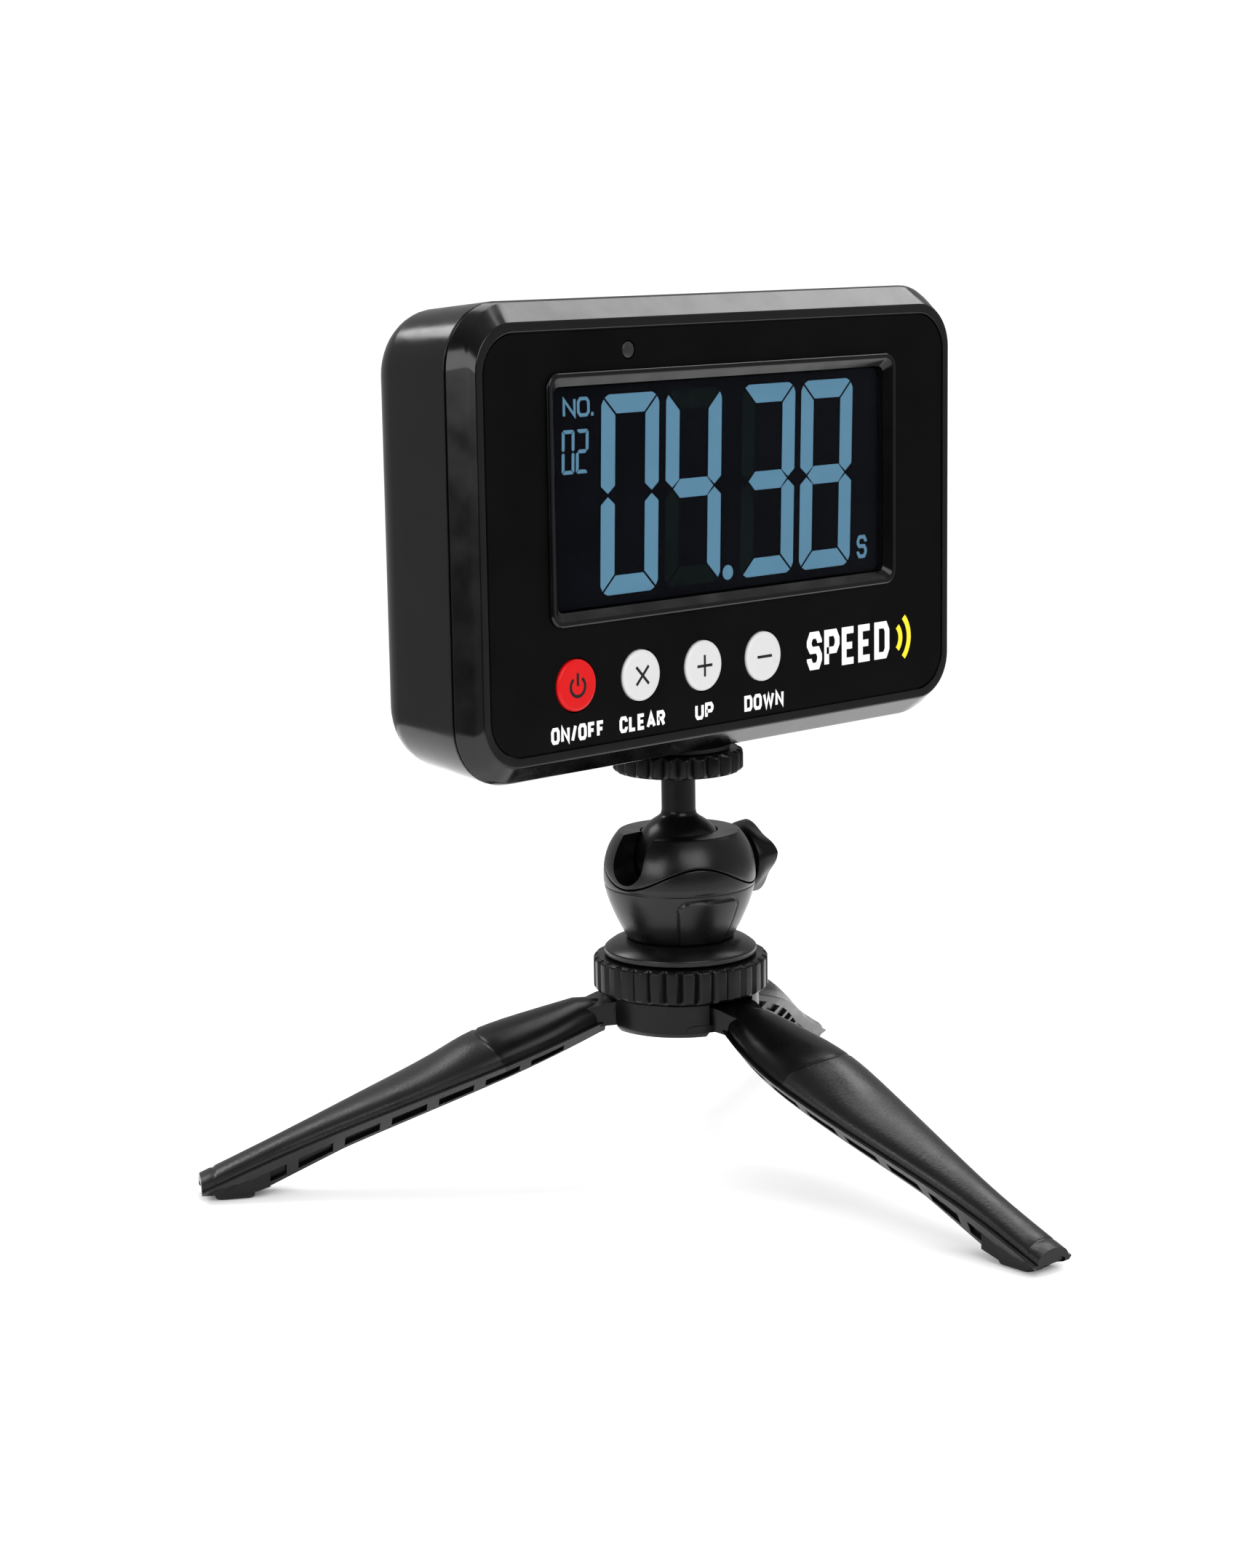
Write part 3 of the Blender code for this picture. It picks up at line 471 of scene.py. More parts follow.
def turned(name, profile, place, steps=64, material=SATIN, closed=False, reaches=None):
    """A body of revolution through (radius, height) points."""
    rings = [[place(u, v, height) for u, v in circle(radius, steps)] for radius, height in profile]
    return loft(name, filleted(rings, reaches or {}), material, closed)


def box_rings(place, low, high):
    """Two rings of a block between two corners, for skin() or loft()."""
    corners = ((low[0], low[1]), (high[0], low[1]), (high[0], high[1]), (low[0], high[1]))
    return [[place(a, b, c) for a, b in corners] for c in (low[2], high[2])]


def combine(target, tool, operation):
    modifier = target.modifiers.new("shape", "BOOLEAN")
    modifier.operation = operation
    modifier.object = tool
    modifier.solver = "EXACT"
    graph = bpy.context.evaluated_depsgraph_get()
    mesh = bpy.data.meshes.new_from_object(target.evaluated_get(graph))
    target.modifiers.clear()
    target.data = mesh
    bpy.data.objects.remove(tool, do_unlink=True)


def cut(target, *tools):
    for tool in tools:
        combine(target, tool, "DIFFERENCE")


def join(target, *tools):
    for tool in tools:
        combine(target, tool, "UNION")


def finished(piece, body, slot, *replaced, bevel=0.0):
    """Smooths a piece, keeps its flats flat, ties it to its body and hides the CAD nodes that it replaces; the
    slot is not used.
    """
    piece.data.shade_smooth()
    piece.data.set_sharp_from_angle(angle=math.radians(38))
    if bevel:
        edge = piece.modifiers.new("edges", "BEVEL")
        edge.width = bevel * MM
        edge.segments = 3
        edge.limit_method = "ANGLE"
        edge.angle_limit = math.radians(42)
    even = piece.modifiers.new("even", "WEIGHTED_NORMAL")
    even.keep_sharp = True
    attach(piece, body)
    if replaced:
        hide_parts(*replaced)
    return piece


def drill(x, z, radius, start, end, steps=48):
    """A tool for a round hole into the unit's face."""
    return turned("drill", ((radius, start), (radius, end)), along_depth(x, z), steps)


# Printed marks and display segments: thin solids that follow a line or fill an outline.

def stroke(shape, points, half, place, depths, closed=False):
    """A flat ribbon along a line of (u, v) points, with mitred corners."""
    count = len(points)
    rings = []
    for i, (u, v) in enumerate(points):
        here = Vector((u, v))
        back = Vector(points[i - 1]) if closed or i else None
        ahead = Vector(points[(i + 1) % count]) if closed or i < count - 1 else None
        into = (here - back).normalized() if back is not None else (ahead - here).normalized()
        out = (ahead - here).normalized() if ahead is not None else into
        side = Vector((-(into + out).y, (into + out).x)).normalized()
        width = half / max(0.45, side.dot(Vector((-into.y, into.x))))
        left, right = here + side * width, here - side * width
        front, rear = depths
        rings.append([place(*left, front), place(*right, front), place(*right, rear), place(*left, rear)])
    skin(shape, rings, closed)


def fill(shape, points, place, depths):
    skin(shape, [[place(u, v, depth) for u, v in points] for depth in depths])


# Letters in a unit square, as lines of (u, v) points. Each letter starts with its
# width against its height. CUT is how much is cut off a corner, and a line that
# ends in CLOSE joins its own start.
CUT = 0.2
FAR = 1 - CUT
CLOSE = None
BOWL = [(CUT, 0), (FAR, 0), (1, CUT), (1, FAR), (FAR, 1), (CUT, 1), (0, FAR), (0, CUT), CLOSE]
OPEN_BOWL = [(1, 0.7), (1, FAR), (FAR, 1), (CUT, 1), (0, FAR)]
OPEN_BOWL += [(0, CUT), (CUT, 0), (FAR, 0), (1, CUT), (1, 0.3)]
SNAKE = [(1, 0.74), (1, FAR), (FAR, 1), (CUT, 1), (0, FAR), (0, 0.68), (CUT, 0.52)]
SNAKE += [(FAR, 0.52), (1, 0.34), (1, CUT), (FAR, 0), (CUT, 0), (0, CUT), (0, 0.26)]
LEG_OF_R = [(0.6, 0.5), (1, 0)]
GLYPHS = {
    "O": (0.64, [BOWL]),
    "N": (0.66, [[(0, 0), (0, 1), (1, 0), (1, 1)]]),
    "/": (0.34, [[(0, -0.05), (1, 1.05)]]),
    "F": (0.54, [[(0, 0), (0, 1), (1, 1)], [(0, 0.5), (0.85, 0.5)]]),
    "C": (0.58, [OPEN_BOWL]),
    "L": (0.50, [[(0, 1), (0, 0), (1, 0)]]),
    "E": (0.54, [[(1, 1), (0, 1), (0, 0), (1, 0)], [(0, 0.5), (0.85, 0.5)]]),
    "A": (0.70, [[(0, 0), (0.5, 1), (1, 0)], [(0.2, 0.3), (0.8, 0.3)]]),
    "R": (0.60, [[(0, 0), (0, 1), (FAR, 1), (1, FAR), (1, 0.68), (FAR, 0.5), (0, 0.5)], LEG_OF_R]),
    "U": (0.62, [[(0, 1), (0, CUT), (CUT, 0), (FAR, 0), (1, CUT), (1, 1)]]),
    "P": (0.60, [[(0, 0), (0, 1), (FAR, 1), (1, FAR), (1, 0.62), (FAR, 0.44), (0, 0.44)]]),
    "D": (0.62, [[(0, 0), (FAR, 0), (1, CUT), (1, FAR), (FAR, 1), (0, 1), CLOSE]]),
    "W": (0.98, [[(0, 1), (0.25, 0), (0.5, 0.9), (0.75, 0), (1, 1)]]),
    "S": (0.58, [SNAKE]),
    ".": (0.02, [[(0, -0.08), (0, 0.14)]]),
}

# Each further stroke of a sign stands this much prouder, so no two faces coincide.
STROKE_STEP = 0.003


def write_word(shape, word, left, base, width, height, line, depths):
    """Draws a word in square strokes, from its left end and base line, to this full width."""
    shares = [GLYPHS[letter][0] for letter in word]
    gap = line * 1.5
    room = width - line - gap * (len(word) - 1)
    scale = room / sum(shares)
    tall = height - line
    at = left + line / 2
    front, rear = depths
    for letter, share in zip(word, shares):
        wide = share * scale
        for points in GLYPHS[letter][1]:
            closed = points[-1] is CLOSE
            spots = points[:-1] if closed else points
            path = [(at + u * wide, base + line / 2 + v * tall) for u, v in spots]
            stroke(shape, path, line / 2, face_place, (front, rear), closed)
            front -= STROKE_STEP
        at += wide + gap


def segment_shapes(left, top, width, height, thick, gap, soft):
    """The seven bars of one digit as outlines, by name."""
    right, bottom, mid = left + width, top - height, top - height / 2
    half = thick / 2
    near = soft * 0.3
    upper_left = [
        (left + near, top - near - gap), (left + thick, top - thick - gap),
        (left + thick, mid + half * 0.8 + gap), (left + half, mid + gap),
        (left, mid + half * 0.8 + gap), (left, top - soft),
    ]
    lower_left = [(u, 2 * mid - v) for u, v in upper_left]
    top_bar = [
        (left + soft, top), (right - soft, top),
        (right - near - gap, top - near), (right - thick - gap, top - thick),
        (left + thick + gap, top - thick), (left + near + gap, top - near),
    ]
    middle = [
        (left + half + gap, mid), (left + thick + gap, mid + half),
        (right - thick - gap, mid + half), (right - half - gap, mid),
        (right - thick - gap, mid - half), (left + thick + gap, mid - half),
    ]
    return {
        "A": top_bar,
        "D": [(u, 2 * mid - v) for u, v in top_bar],
        "F": upper_left,
        "E": lower_left,
        "B": [(left + right - u, v) for u, v in upper_left],
        "C": [(left + right - u, v) for u, v in lower_left],
        "G": middle,
    }


LIT = {"0": "ABCDEF", "2": "ABGED", "3": "ABCDG", "4": "BCFG", "8": "ABCDEFG"}
GHOSTS = {"4": "AED", "3": "FE"}
DIGITS = (("0", -34.75), ("4", -16.65), ("3", 5.5), ("8", 23.5))
DIGIT_SIZE = (16.1, 40.0)
DIGIT_TOP = 28.2
DIGIT_SLANT = 0.031
DIGIT_LEVEL = 18.9
SMALL_DIGITS = (("0", -45.4), ("2", -41.6))


def leaning(u, v, depth):
    """Places a digit's point with the display's slight slant."""
    return on_unit(u + DIGIT_SLANT * (v - DIGIT_LEVEL), depth, v)


def add_display_marks():
    depths = (LCD_DEPTH - 0.03, LCD_DEPTH + 0.02)
    lit, dark = bmesh.new(), bmesh.new()
    for digit, left in DIGITS:
        bars = segment_shapes(left, DIGIT_TOP, *DIGIT_SIZE, 3.85, 0.32, 2.0)
        for name in LIT[digit]:
            fill(lit, bars[name], leaning, depths)
        for name in GHOSTS.get(digit, ""):
            fill(dark, bars[name], leaning, depths)
    for digit, left in SMALL_DIGITS:
        bars = segment_shapes(left, 21.8, 3.4, 8.7, 0.75, 0.12, 0.5)
        for name in LIT[digit]:
            fill(lit, bars[name], leaning, depths)
    fill(lit, [(u + 0.9, v - 10.2) for u, v in circle(1.55, 32)], face_place, depths)
    write_word(lit, "NO.", -45.0, 24.2, 8.4, 3.9, 0.68, depths)
    write_word(lit, "S", 41.0, -10.8, 3.3, 5.0, 0.8, depths)
    digits = add_mesh("lcd_lit_segments", lit, EXTRA["segment"])
    ghosts = add_mesh("lcd_dark_segments", dark, EXTRA["ghost"])
    for piece in (digits, ghosts):
        finished(piece, "unit", "lcd")


# The display unit.

SENSOR_HOLE_R = 1.9


def window_tool():
    """A tool for the window's opening, deep enough for the frame and the panel."""
    hole = outline(50.1, 23.95, 2.5, WINDOW_CENTRE)
    return loft("hole", [unit_ring(hole, -1), unit_ring(hole, 5)])


def crest_ring():
    """The edge between the sloped front border and the side band, deeper where the border is wide."""
    ring = []
    for (inner_u, inner_v), (u, v) in zip(outline(69.1, 43.2, 9.4), outline(69.7, 47.1, 12.0)):
        width = math.hypot(u - inner_u, v - inner_v)
        ring.append(on_unit(u, 0.1 + 1.05 * width, v))
    return ring


def add_front_frame():
    half_w, half_h = SEAM_HALF
    recess = outline(67.3, 41.4, 8.2)
    rings = [
        unit_ring(recess, 1.3),
        unit_ring(recess, 0.15),
        unit_ring(outline(67.5, 41.6, 8.3), 0.0),
        unit_ring(outline(69.1, 43.2, 9.4), 0.0),
        crest_ring(),
        unit_ring(outline(half_w, half_h, SEAM_RADIUS), SEAM_DEPTH),
        unit_ring(outline(half_w - WALL, half_h - WALL, SEAM_RADIUS - WALL), SEAM_DEPTH),
        unit_ring(outline(69.0, 44.4, 10.0), 3.3),
    ]
    shell = loft("case_front", filleted(rings, {3: 0.3, 4: 0.55, 5: 0.35}), FINISH["shell_black"])
    cut(shell, window_tool())
    for name in BUTTONS:
        spot = button_centre(name)
        cut(shell, drill(*spot, BUTTON_R + GAP, -1, 5))
    cut(shell, drill(*sensor_centre(), SENSOR_HOLE_R, -1, 5, 24))
    for x, z in SCREW_SPOTS:
        join(shell, drill(x, z, 3.2, 3.0, 13.6, 24))
        cut(shell, drill(x, z, 1.6, 7.0, 15.0, 16))
    finished(shell, "unit", "shell_black", "front_frame")


def centre_of(node):
    low, high = node_box(node)
    return (low.x + high.x) / 2 - AXIS_X, (low.z + high.z) / 2 - FACE_Z


def button_centre(name):
    return centre_of("button_" + name)


def sensor_centre():
    return centre_of("sensor_window")


def add_front_panel():
    half_w, half_h = PANEL_HALF
    rings = [
        unit_ring(outline(half_w, half_h, 8.0), 1.0),
        unit_ring(outline(half_w, half_h, 8.0), 0.28),
        unit_ring(outline(half_w - 0.18, half_h - 0.18, 7.8), 0.1),
    ]
    panel = loft("printed_panel", rings, FINISH["panel_black"])
    cut(panel, window_tool())
    for name in BUTTONS:
        cut(panel, drill(*button_centre(name), BUTTON_R + GAP, -1, 3))
    cut(panel, drill(*sensor_centre(), SENSOR_HOLE_R, -1, 3, 24))
    finished(panel, "unit", "panel_black", "front_panel")


# Each key's word and how wide it is printed.
LABELS = (("ON/OFF", "power", 14.5), ("CLEAR", "clear", 12.9), ("UP", "up", 5.4), ("DOWN", "down", 12.0))


def add_panel_print():
    depths = (0.08, 0.14)
    ink = bmesh.new()
    for word, button, width in LABELS:
        x = button_centre(button)[0] + 0.3
        write_word(ink, word, x - width / 2, -39.7, width, 3.35, 0.74, depths)
    write_word(ink, "SPEED", 22.9, -33.2, 26.6, 8.2, 1.5, depths)
    finished(add_mesh("panel_print", ink, EXTRA["ink"]), "unit", "panel_black")
    mark = bmesh.new()
    for radius in (3.6, 6.4):
        arc = []
        for step in range(17):
            turn = math.radians(-44 + 88 * step / 16)
            arc.append((49.6 + radius * math.cos(turn), -29.1 + radius * math.sin(turn)))
        stroke(mark, arc, 0.65, face_place, depths)
    finished(add_mesh("wave_mark", mark, EXTRA["amber_ink"]), "unit", "panel_black")


def add_window():
    def ring(half_w, half_h, radius, depth):
        return unit_ring(outline(half_w, half_h, radius, WINDOW_CENTRE), depth)

    rings = [
        ring(50.75, 24.6, 2.7, -0.8),
        ring(51.1, 24.95, 3.0, -0.45),
        ring(51.1, 24.95, 3.0, -0.2),
        ring(49.8, 23.65, 2.2, -0.2),
        ring(49.8, 23.65, 2.2, 3.0),
        ring(48.3, 22.2, 1.5, 3.0),
        ring(48.3, 22.2, 1.5, 0.72),
        ring(50.0, 23.9, 2.2, -0.72),
    ]
    rings = filleted(rings, {0: 0.25, 1: 0.2, 7: 0.25})
    bezel = loft("window_frame", rings, FINISH["gloss_black"], closed=True)
    finished(bezel, "unit", "gloss_black", "window_bezel")


def key_finish(name):
    return "red_plastic" if name == "power" else "white_plastic"


def add_key(name):
    """A round key: a thin front, a flange behind the panel and a stub on its switch."""
    front = node_box("button_" + name)[0].y - FACE_Y
    profile = [
        (0.4, front), (2.6, front + 0.01), (4.7, front + 0.03), (BUTTON_R, front + 0.3),
        (BUTTON_R, 3.6), (6.3, 3.6), (6.3, 4.2), (1.6, 4.2), (1.6, 4.7),
    ]
    place = along_depth(*button_centre(name))
    finish = key_finish(name)
    key = turned("key_" + name, profile, place, 64, FINISH[finish], reaches={2: 0.2, 3: 0.3})
    finished(key, name + "_key", finish, "button_" + name)


def add_icon(name):
    """The sign on a key: a power ring, a cross, a plus or a minus."""
    place = along_depth(*button_centre(name))
    face = node_box("button_" + name)[0].y - FACE_Y
    under = (face - 0.015, face + 0.1)
    over = (under[0] - STROKE_STEP, under[1])
    half = 0.3
    icon = bmesh.new()
    if name == "power":
        arc = []
        for step in range(25):
            turn = math.radians(90 + 36 + 288 * step / 24)
            arc.append((1.95 * math.cos(turn), 1.95 * math.sin(turn) - 0.25))
        stroke(icon, arc, half + 0.02, place, under)
        stroke(icon, [(0, 2.5), (0, -0.1)], half + 0.02, place, under)
    elif name == "clear":
        stroke(icon, [(-1.75, 1.85), (1.75, -1.85)], half, place, under)
        stroke(icon, [(-1.75, -1.85), (1.75, 1.85)], half, place, over)
    else:
        stroke(icon, [(-2.2, 0), (2.2, 0)], half, place, under)
    if name == "up":
        stroke(icon, [(0, -2.25), (0, 2.25)], half, place, over)
    finished(add_mesh("icon_" + name, icon, EXTRA["dark_ink"]), name + "_key", key_finish(name))


def add_sensor():
    profile = ((0.2, -0.1), (1.3, -0.06), (1.6, 0.15), (1.6, 4.4))
    dot = turned("sensor_dot", profile, along_depth(*sensor_centre()), 32, EXTRA["sensor"])
    finished(dot, "unit", "clear", "sensor_window")


def shell_half(depth):
    """The rear shell's half sizes and corner radius at a depth, with its draft and round back edge."""
    inset = DRAFT * (depth - SEAM_DEPTH)
    round_start = SHELL_DEPTH - REAR_ROUND
    if depth > round_start:
        rise = (depth - round_start) / REAR_ROUND
        inset += REAR_ROUND * (1 - math.sqrt(max(0.0, 1 - rise * rise)))
    return SEAM_HALF[0] - inset, SEAM_HALF[1] - inset, max(SEAM_RADIUS - 0.6 * inset, 4.0)


def make_hollow_shell():
    start = SEAM_DEPTH + SEAM_GAP
    round_start = SHELL_DEPTH - REAR_ROUND
    depths = [start, 12.0, 20.0, round_start]
    depths += [round_start + REAR_ROUND * math.sin(math.radians(turn)) for turn in range(9, 91, 9)]
    outside = [unit_ring(outline(*shell_half(depth)), depth) for depth in depths]
    inside = []
    for depth in (start, round_start, SHELL_DEPTH - WALL - 2.2, SHELL_DEPTH - WALL):
        half_w, half_h, radius = shell_half(depth)
        inside.append(unit_ring(outline(half_w - WALL, half_h - WALL, radius - 2.0), depth))
    rings = filleted(list(reversed(inside)) + outside, {4: 0.3})
    return loft("case_rear", rings, FINISH["shell_black"])


def add_mount_boss(shell):
    """The block and round foot that hold the tripod's nut, bored from below."""
    bottom = -shell_half(AXIS_DEPTH)[1]
    boss = box_rings(on_unit, (-8, AXIS_DEPTH - 6.1, bottom + 1), (8, AXIS_DEPTH + 8, -34.0))
    join(shell, loft("boss", boss))
    join(shell, turned("foot", ((10.0, FACE_Z - 47.3), (10.0, FACE_Z - 44.5)), on_axis))
    cut(shell, turned("bore", ((5.3, FACE_Z - 49), (5.3, FACE_Z - 33)), on_axis, 32))


def add_rear_shell():
    shell = make_hollow_shell()
    add_mount_boss(shell)
    half_w, half_h = COVER_HALF
    centre = (0.0, COVER_CENTRE_Z)
    ledge = outline(half_w + GAP, half_h + GAP, 3.0, centre, 6)
    opening = outline(half_w - 1.6, half_h - 1.6, 2.0, centre, 6)
    cut(
        shell,
        loft("ledge", [unit_ring(ledge, SHELL_DEPTH - 1.4), unit_ring(ledge, 35)]),
        loft("opening", [unit_ring(opening, 29), unit_ring(opening, 35)]),
    )
    for x, z in SCREW_SPOTS:
        join(shell, drill(x, z, 4.3, 14.0, 31.0, 24))
        cut(shell, drill(x, z, 2.9, 16.0, 35.0, 32), drill(x, z, 1.7, 13.0, 17.0, 16))
    finished(shell, "unit", "shell_black", "rear_shell")


def add_battery_cover():
    """The lid, with a thumb groove and six fine grooves below it."""
    half_w, half_h = COVER_HALF
    centre = (0.0, COVER_CENTRE_Z)

    def ring(inset, radius, rise):
        points = outline(half_w - inset, half_h - inset, radius, centre, 6)
        return unit_ring(points, SHELL_DEPTH - rise)

    rings = [ring(2.0, 1.8, 2.3), ring(2.0, 1.8, 1.1), ring(0, 2.7, 1.1), ring(0, 2.7, 0), ring(3.0, 2.0, 0)]
    lid = loft("battery_lid", filleted(rings, {3: 0.35}), FINISH["shell_black"])
    grip = outline(9.0, 1.75, 1.0, (0.0, COVER_CENTRE_Z + 13.75), 6)
    cut(lid, loft("grip", [unit_ring(grip, SHELL_DEPTH - 0.7), unit_ring(grip, 34)]))
    grooves = bmesh.new()
    for index in range(6):
        z = COVER_CENTRE_Z + 11.0 - index * 1.5
        groove = outline(7.0, 0.3, 0.28, (0.0, z), 4)
        skin(grooves, [unit_ring(groove, depth) for depth in (SHELL_DEPTH - 0.25, 34)])
    cut(lid, add_mesh("grooves", grooves, SATIN))
    finished(lid, "cover", "shell_black", "battery_cover")


# The ball head.

def knurled(name, body, node, groove, count, share, bore):
    """A ring with V grooves of this depth in its rim, which run out over its chamfers.

    Each groove takes this share of its pitch, and bore is the hole's radius.
    """
    low, high = node_box(node)
    radius = (high.x - low.x) / 2
    steps = count * 12

    def rim(size, depth, z):
        points = []
        for i in range(steps):
            turn = 2 * math.pi * i / steps
            away = abs((i / 12 + 0.5) % 1 - 0.5)
            reach = size - depth * max(0.0, 1 - 2 * away / share)
            points.append(on_axis(reach * math.cos(turn), reach * math.sin(turn), z))
        return points

    bottom, top = low.z, high.z
    rings = [
        rim(radius - 1.0, 0.0, bottom),
        rim(radius - 0.55, groove * 0.5, bottom + 0.15),
        rim(radius, groove, bottom + 0.8),
        rim(radius, groove, top - 0.8),
        rim(radius - 0.3, groove * 0.85, top - 0.3),
        rim(radius - 0.8, groove * 0.45, top),
        rim(radius - 1.5, 0.0, top),
    ]
    for z in (top, bottom):
        rings.append([on_axis(u, v, z) for u, v in circle(bore, steps)])
    finished(loft(name, rings, closed=True), body, "satin_black", node)


STEM_R = 3.65


def add_ball():
    profile = []
    for turn in range(-76, 62, 4):
        angle = math.radians(turn)
        profile.append((BALL_R * math.cos(angle), BALL_Z + BALL_R * math.sin(angle)))
    neck = BALL_Z + math.sqrt(BALL_R**2 - STEM_R**2)
    top = node_box("ball_stem")[1].z
    profile += [(4.4, neck - 0.25), (3.85, neck + 0.25), (STEM_R, neck + 1.2), (STEM_R, top)]
    ball = turned("ball_and_stem", profile, on_axis, 96, EXTRA["ball"])
    finished(ball, "stem", "satin_black", "ball_stem")


def parting_height(turn):
    """The wavy line where the housing's two halves meet."""
    return BALL_Z - 2.1 + 2.5 * math.cos(3 * turn)


def head_radius(z):
    """The housing's outline, widest at its belly."""
    rise = z - BELLY_Z
    reach, power, end = (10.9, 2.6, 12.2) if rise > 0 else (13.3, 1.55, 11.2)
    share = min(1.0, abs(rise) / reach) ** power
    return HEAD_R + (end - HEAD_R) * share


def wavy_ring(share, steps, target, inner=None, drop=0.0, shape=None):
    """A ring between the wavy parting line and a flat height: share 0 is on the parting line.

    The ring has the housing's outline, with any relief that shape gives, or the radius inner.
    """
    points = []
    for i in range(steps):
        turn = 2 * math.pi * i / steps
        z = parting_height(turn) * (1 - share) + target * share - drop
        radius = inner if inner else head_radius(z) + (shape(turn, z) if shape else 0.0)
        points.append(on_axis(radius * math.cos(turn), radius * math.sin(turn), z))
    return points


TAB_TURN = math.radians(-109.3)
TAB_HALF = (7.0, 6.5)
TAB_TOP = 60.5


def head_relief(turn, z):
    """The shallow tab and the fine line on the lower half, as a change of radius."""
    across = math.atan2(math.sin(turn - TAB_TURN), math.cos(turn - TAB_TURN)) * HEAD_R * 0.93
    corner = 2.2
    du = max(0.0, abs(across) - TAB_HALF[0] + corner)
    dv = max(0.0, abs(z - TAB_TOP + TAB_HALF[1]) - TAB_HALF[1] + corner)
    away = math.hypot(du, dv) - corner
    raised = 0.28 * min(1.0, max(0.0, -away / 0.5))
    groove = 0.22 * math.exp(-(((away - 0.15) / 0.24) ** 2))
    line = 0.13 * math.exp(-(((z - BALL_Z + 5.4) / 0.22) ** 2))
    return raised - groove - line


def notch_tool():
    """A tool for the slot that the stem can lean into."""
    bottom = BALL_Z + HEAD_TOP - 9.8
    points = [(-NOTCH_HALF, 14.0), (NOTCH_HALF, 14.0)]
    for step in range(25):
        turn = math.radians(180 * step / 24)
        points.append((NOTCH_HALF * math.cos(turn), NOTCH_HALF - NOTCH_HALF * math.sin(turn)))
    return loft("notch", [[on_axis(x, u, bottom + v) for u, v in points] for x in (-24.0, -6.0)])


HOUSING_BOTTOM = 50.9
SOCKET_R = BALL_R + 0.6


def add_upper_housing():
    steps = 144
    top = BALL_Z + HEAD_TOP
    rings = [wavy_ring(step / 12, steps, top) for step in range(13)]
    for rise in (HEAD_TOP, 4.8, 3.6, 2.0):
        radius = math.sqrt((BALL_R + GAP) ** 2 - rise * rise)
        rings.append([on_axis(u, v, BALL_Z + rise) for u, v in circle(radius, steps)])
    rings.append(wavy_ring(0.0, steps, top, inner=SOCKET_R))
    upper = loft("head_upper", filleted(rings, {0: 0.3, 12: 0.3}, 3), EXTRA["head"], closed=True)
    cut(upper, notch_tool())
    finished(upper, "head", "satin_black", "housing_upper", bevel=0.22)


def add_lower_housing():
    steps = 360
    bottom = HOUSING_BOTTOM
    rings = [wavy_ring(step / 96, steps, bottom, drop=GAP, shape=head_relief) for step in range(97)]
    for radius, z in ((4.0, bottom - GAP), (4.0, 54.6), (SOCKET_R, 54.6)):
        rings.append([on_axis(u, v, z) for u, v in circle(radius, steps)])
    rings.append(wavy_ring(0.0, steps, bottom, inner=SOCKET_R, drop=GAP))
    lower = loft("head_lower", filleted(rings, {0: 0.25}, 3), EXTRA["head"], closed=True)
    cut(lower, turned("bore", ((3.0, 9.0), (3.0, 20.0)), along_x(0, BALL_Z - KNOB_DROP), 32))
    finished(lower, "head", "satin_black", "housing_lower")


def add_clamp_knob():
    """The four-lobed knob, with a scooped dish between each pair of lobes."""
    axis_z = BALL_Z - KNOB_DROP
    start, end = KNOB_X
    steps = 160

    def lobed(x, size, depth):
        ring = []
        for i in range(steps):
            turn = 2 * math.pi * i / steps
            scoop = 0.5 * (1 - math.cos(4 * (turn - KNOB_PHASE)))
            reach = size - depth * scoop**0.75
            ring.append(on_axis(x, reach * math.cos(turn), axis_z + reach * math.sin(turn)))
        return ring

    rings = [
        lobed(start, 5.2, 0.0),
        lobed(start + 0.4, 7.1, 0.0),
        lobed(start + 1.4, 7.5, 0.25),
        lobed(start + 2.4, 7.8, 0.7),
        lobed(start + 4.0, 7.95, 1.35),
        lobed(end - 0.6, 8.0, 1.9),
        lobed(end, 7.3, 1.7),
        lobed(end, 3.0, 0.4),
        lobed(end - 0.35, 2.6, 0.3),
    ]
    knob = loft("clamp_grip", filleted(rings, {1: 0.3, 5: 0.4, 6: 0.4}, 4))
    cut(knob, turned("bore", ((2.3, start - 1), (2.3, 21.8)), along_x(0, axis_z), 32))
    finished(knob, "clamp", "satin_black", "clamp_knob")


def owner(node):
    """The body that a CAD node rides on."""
    for body, nodes in frame["record"]["behaviour"]["bodies"].items():
        if node in nodes:
            return body
    raise ValueError(node)


def add_pan_base():
    """The low flange under the head, and the collar that turns in the hub."""
    profile = (
        (11.4, 50.3), (12.4, 50.15), (13.3, 49.9), (14.7, 49.3), (15.7, 48.6), (16.4, 48.0),
        (16.4, 46.8), (6.0, 46.8), (6.0, 45.0), (3.4, 45.0), (3.4, 50.3),
    )
    base = turned("pan_flange", profile, on_axis, 128, EXTRA["head"], True, {5: 0.25, 6: 0.2})
    finished(base, owner("pan_base"), "satin_black", "pan_base")


# The hub and the legs.

def leg_frame(angle):
    """Places (out from the axis, sideways, height) for a leg that stands at this angle."""
    turn = Matrix.Rotation(math.radians(angle), 4, "Z")
    return lambda out, side, z: turn @ Vector((out, side, 0)) + on_axis(0, 0, z)


def slot_tool(angle):
    return loft("slot", box_rings(leg_frame(angle), (9.0, -6.3, 28.0), (24.0, 6.3, LEG_PIN_Z + 3.6)))


def pin_tool(angle, radius, half, steps=24):
    """A tool, or a barrel, round a leg's pin."""
    place = leg_frame(angle)
    return turned(
        "bore", ((radius, -half), (radius, half)),
        lambda u, v, side: place(LEG_PIN_R + u, side, LEG_PIN_Z + v), steps,
    )


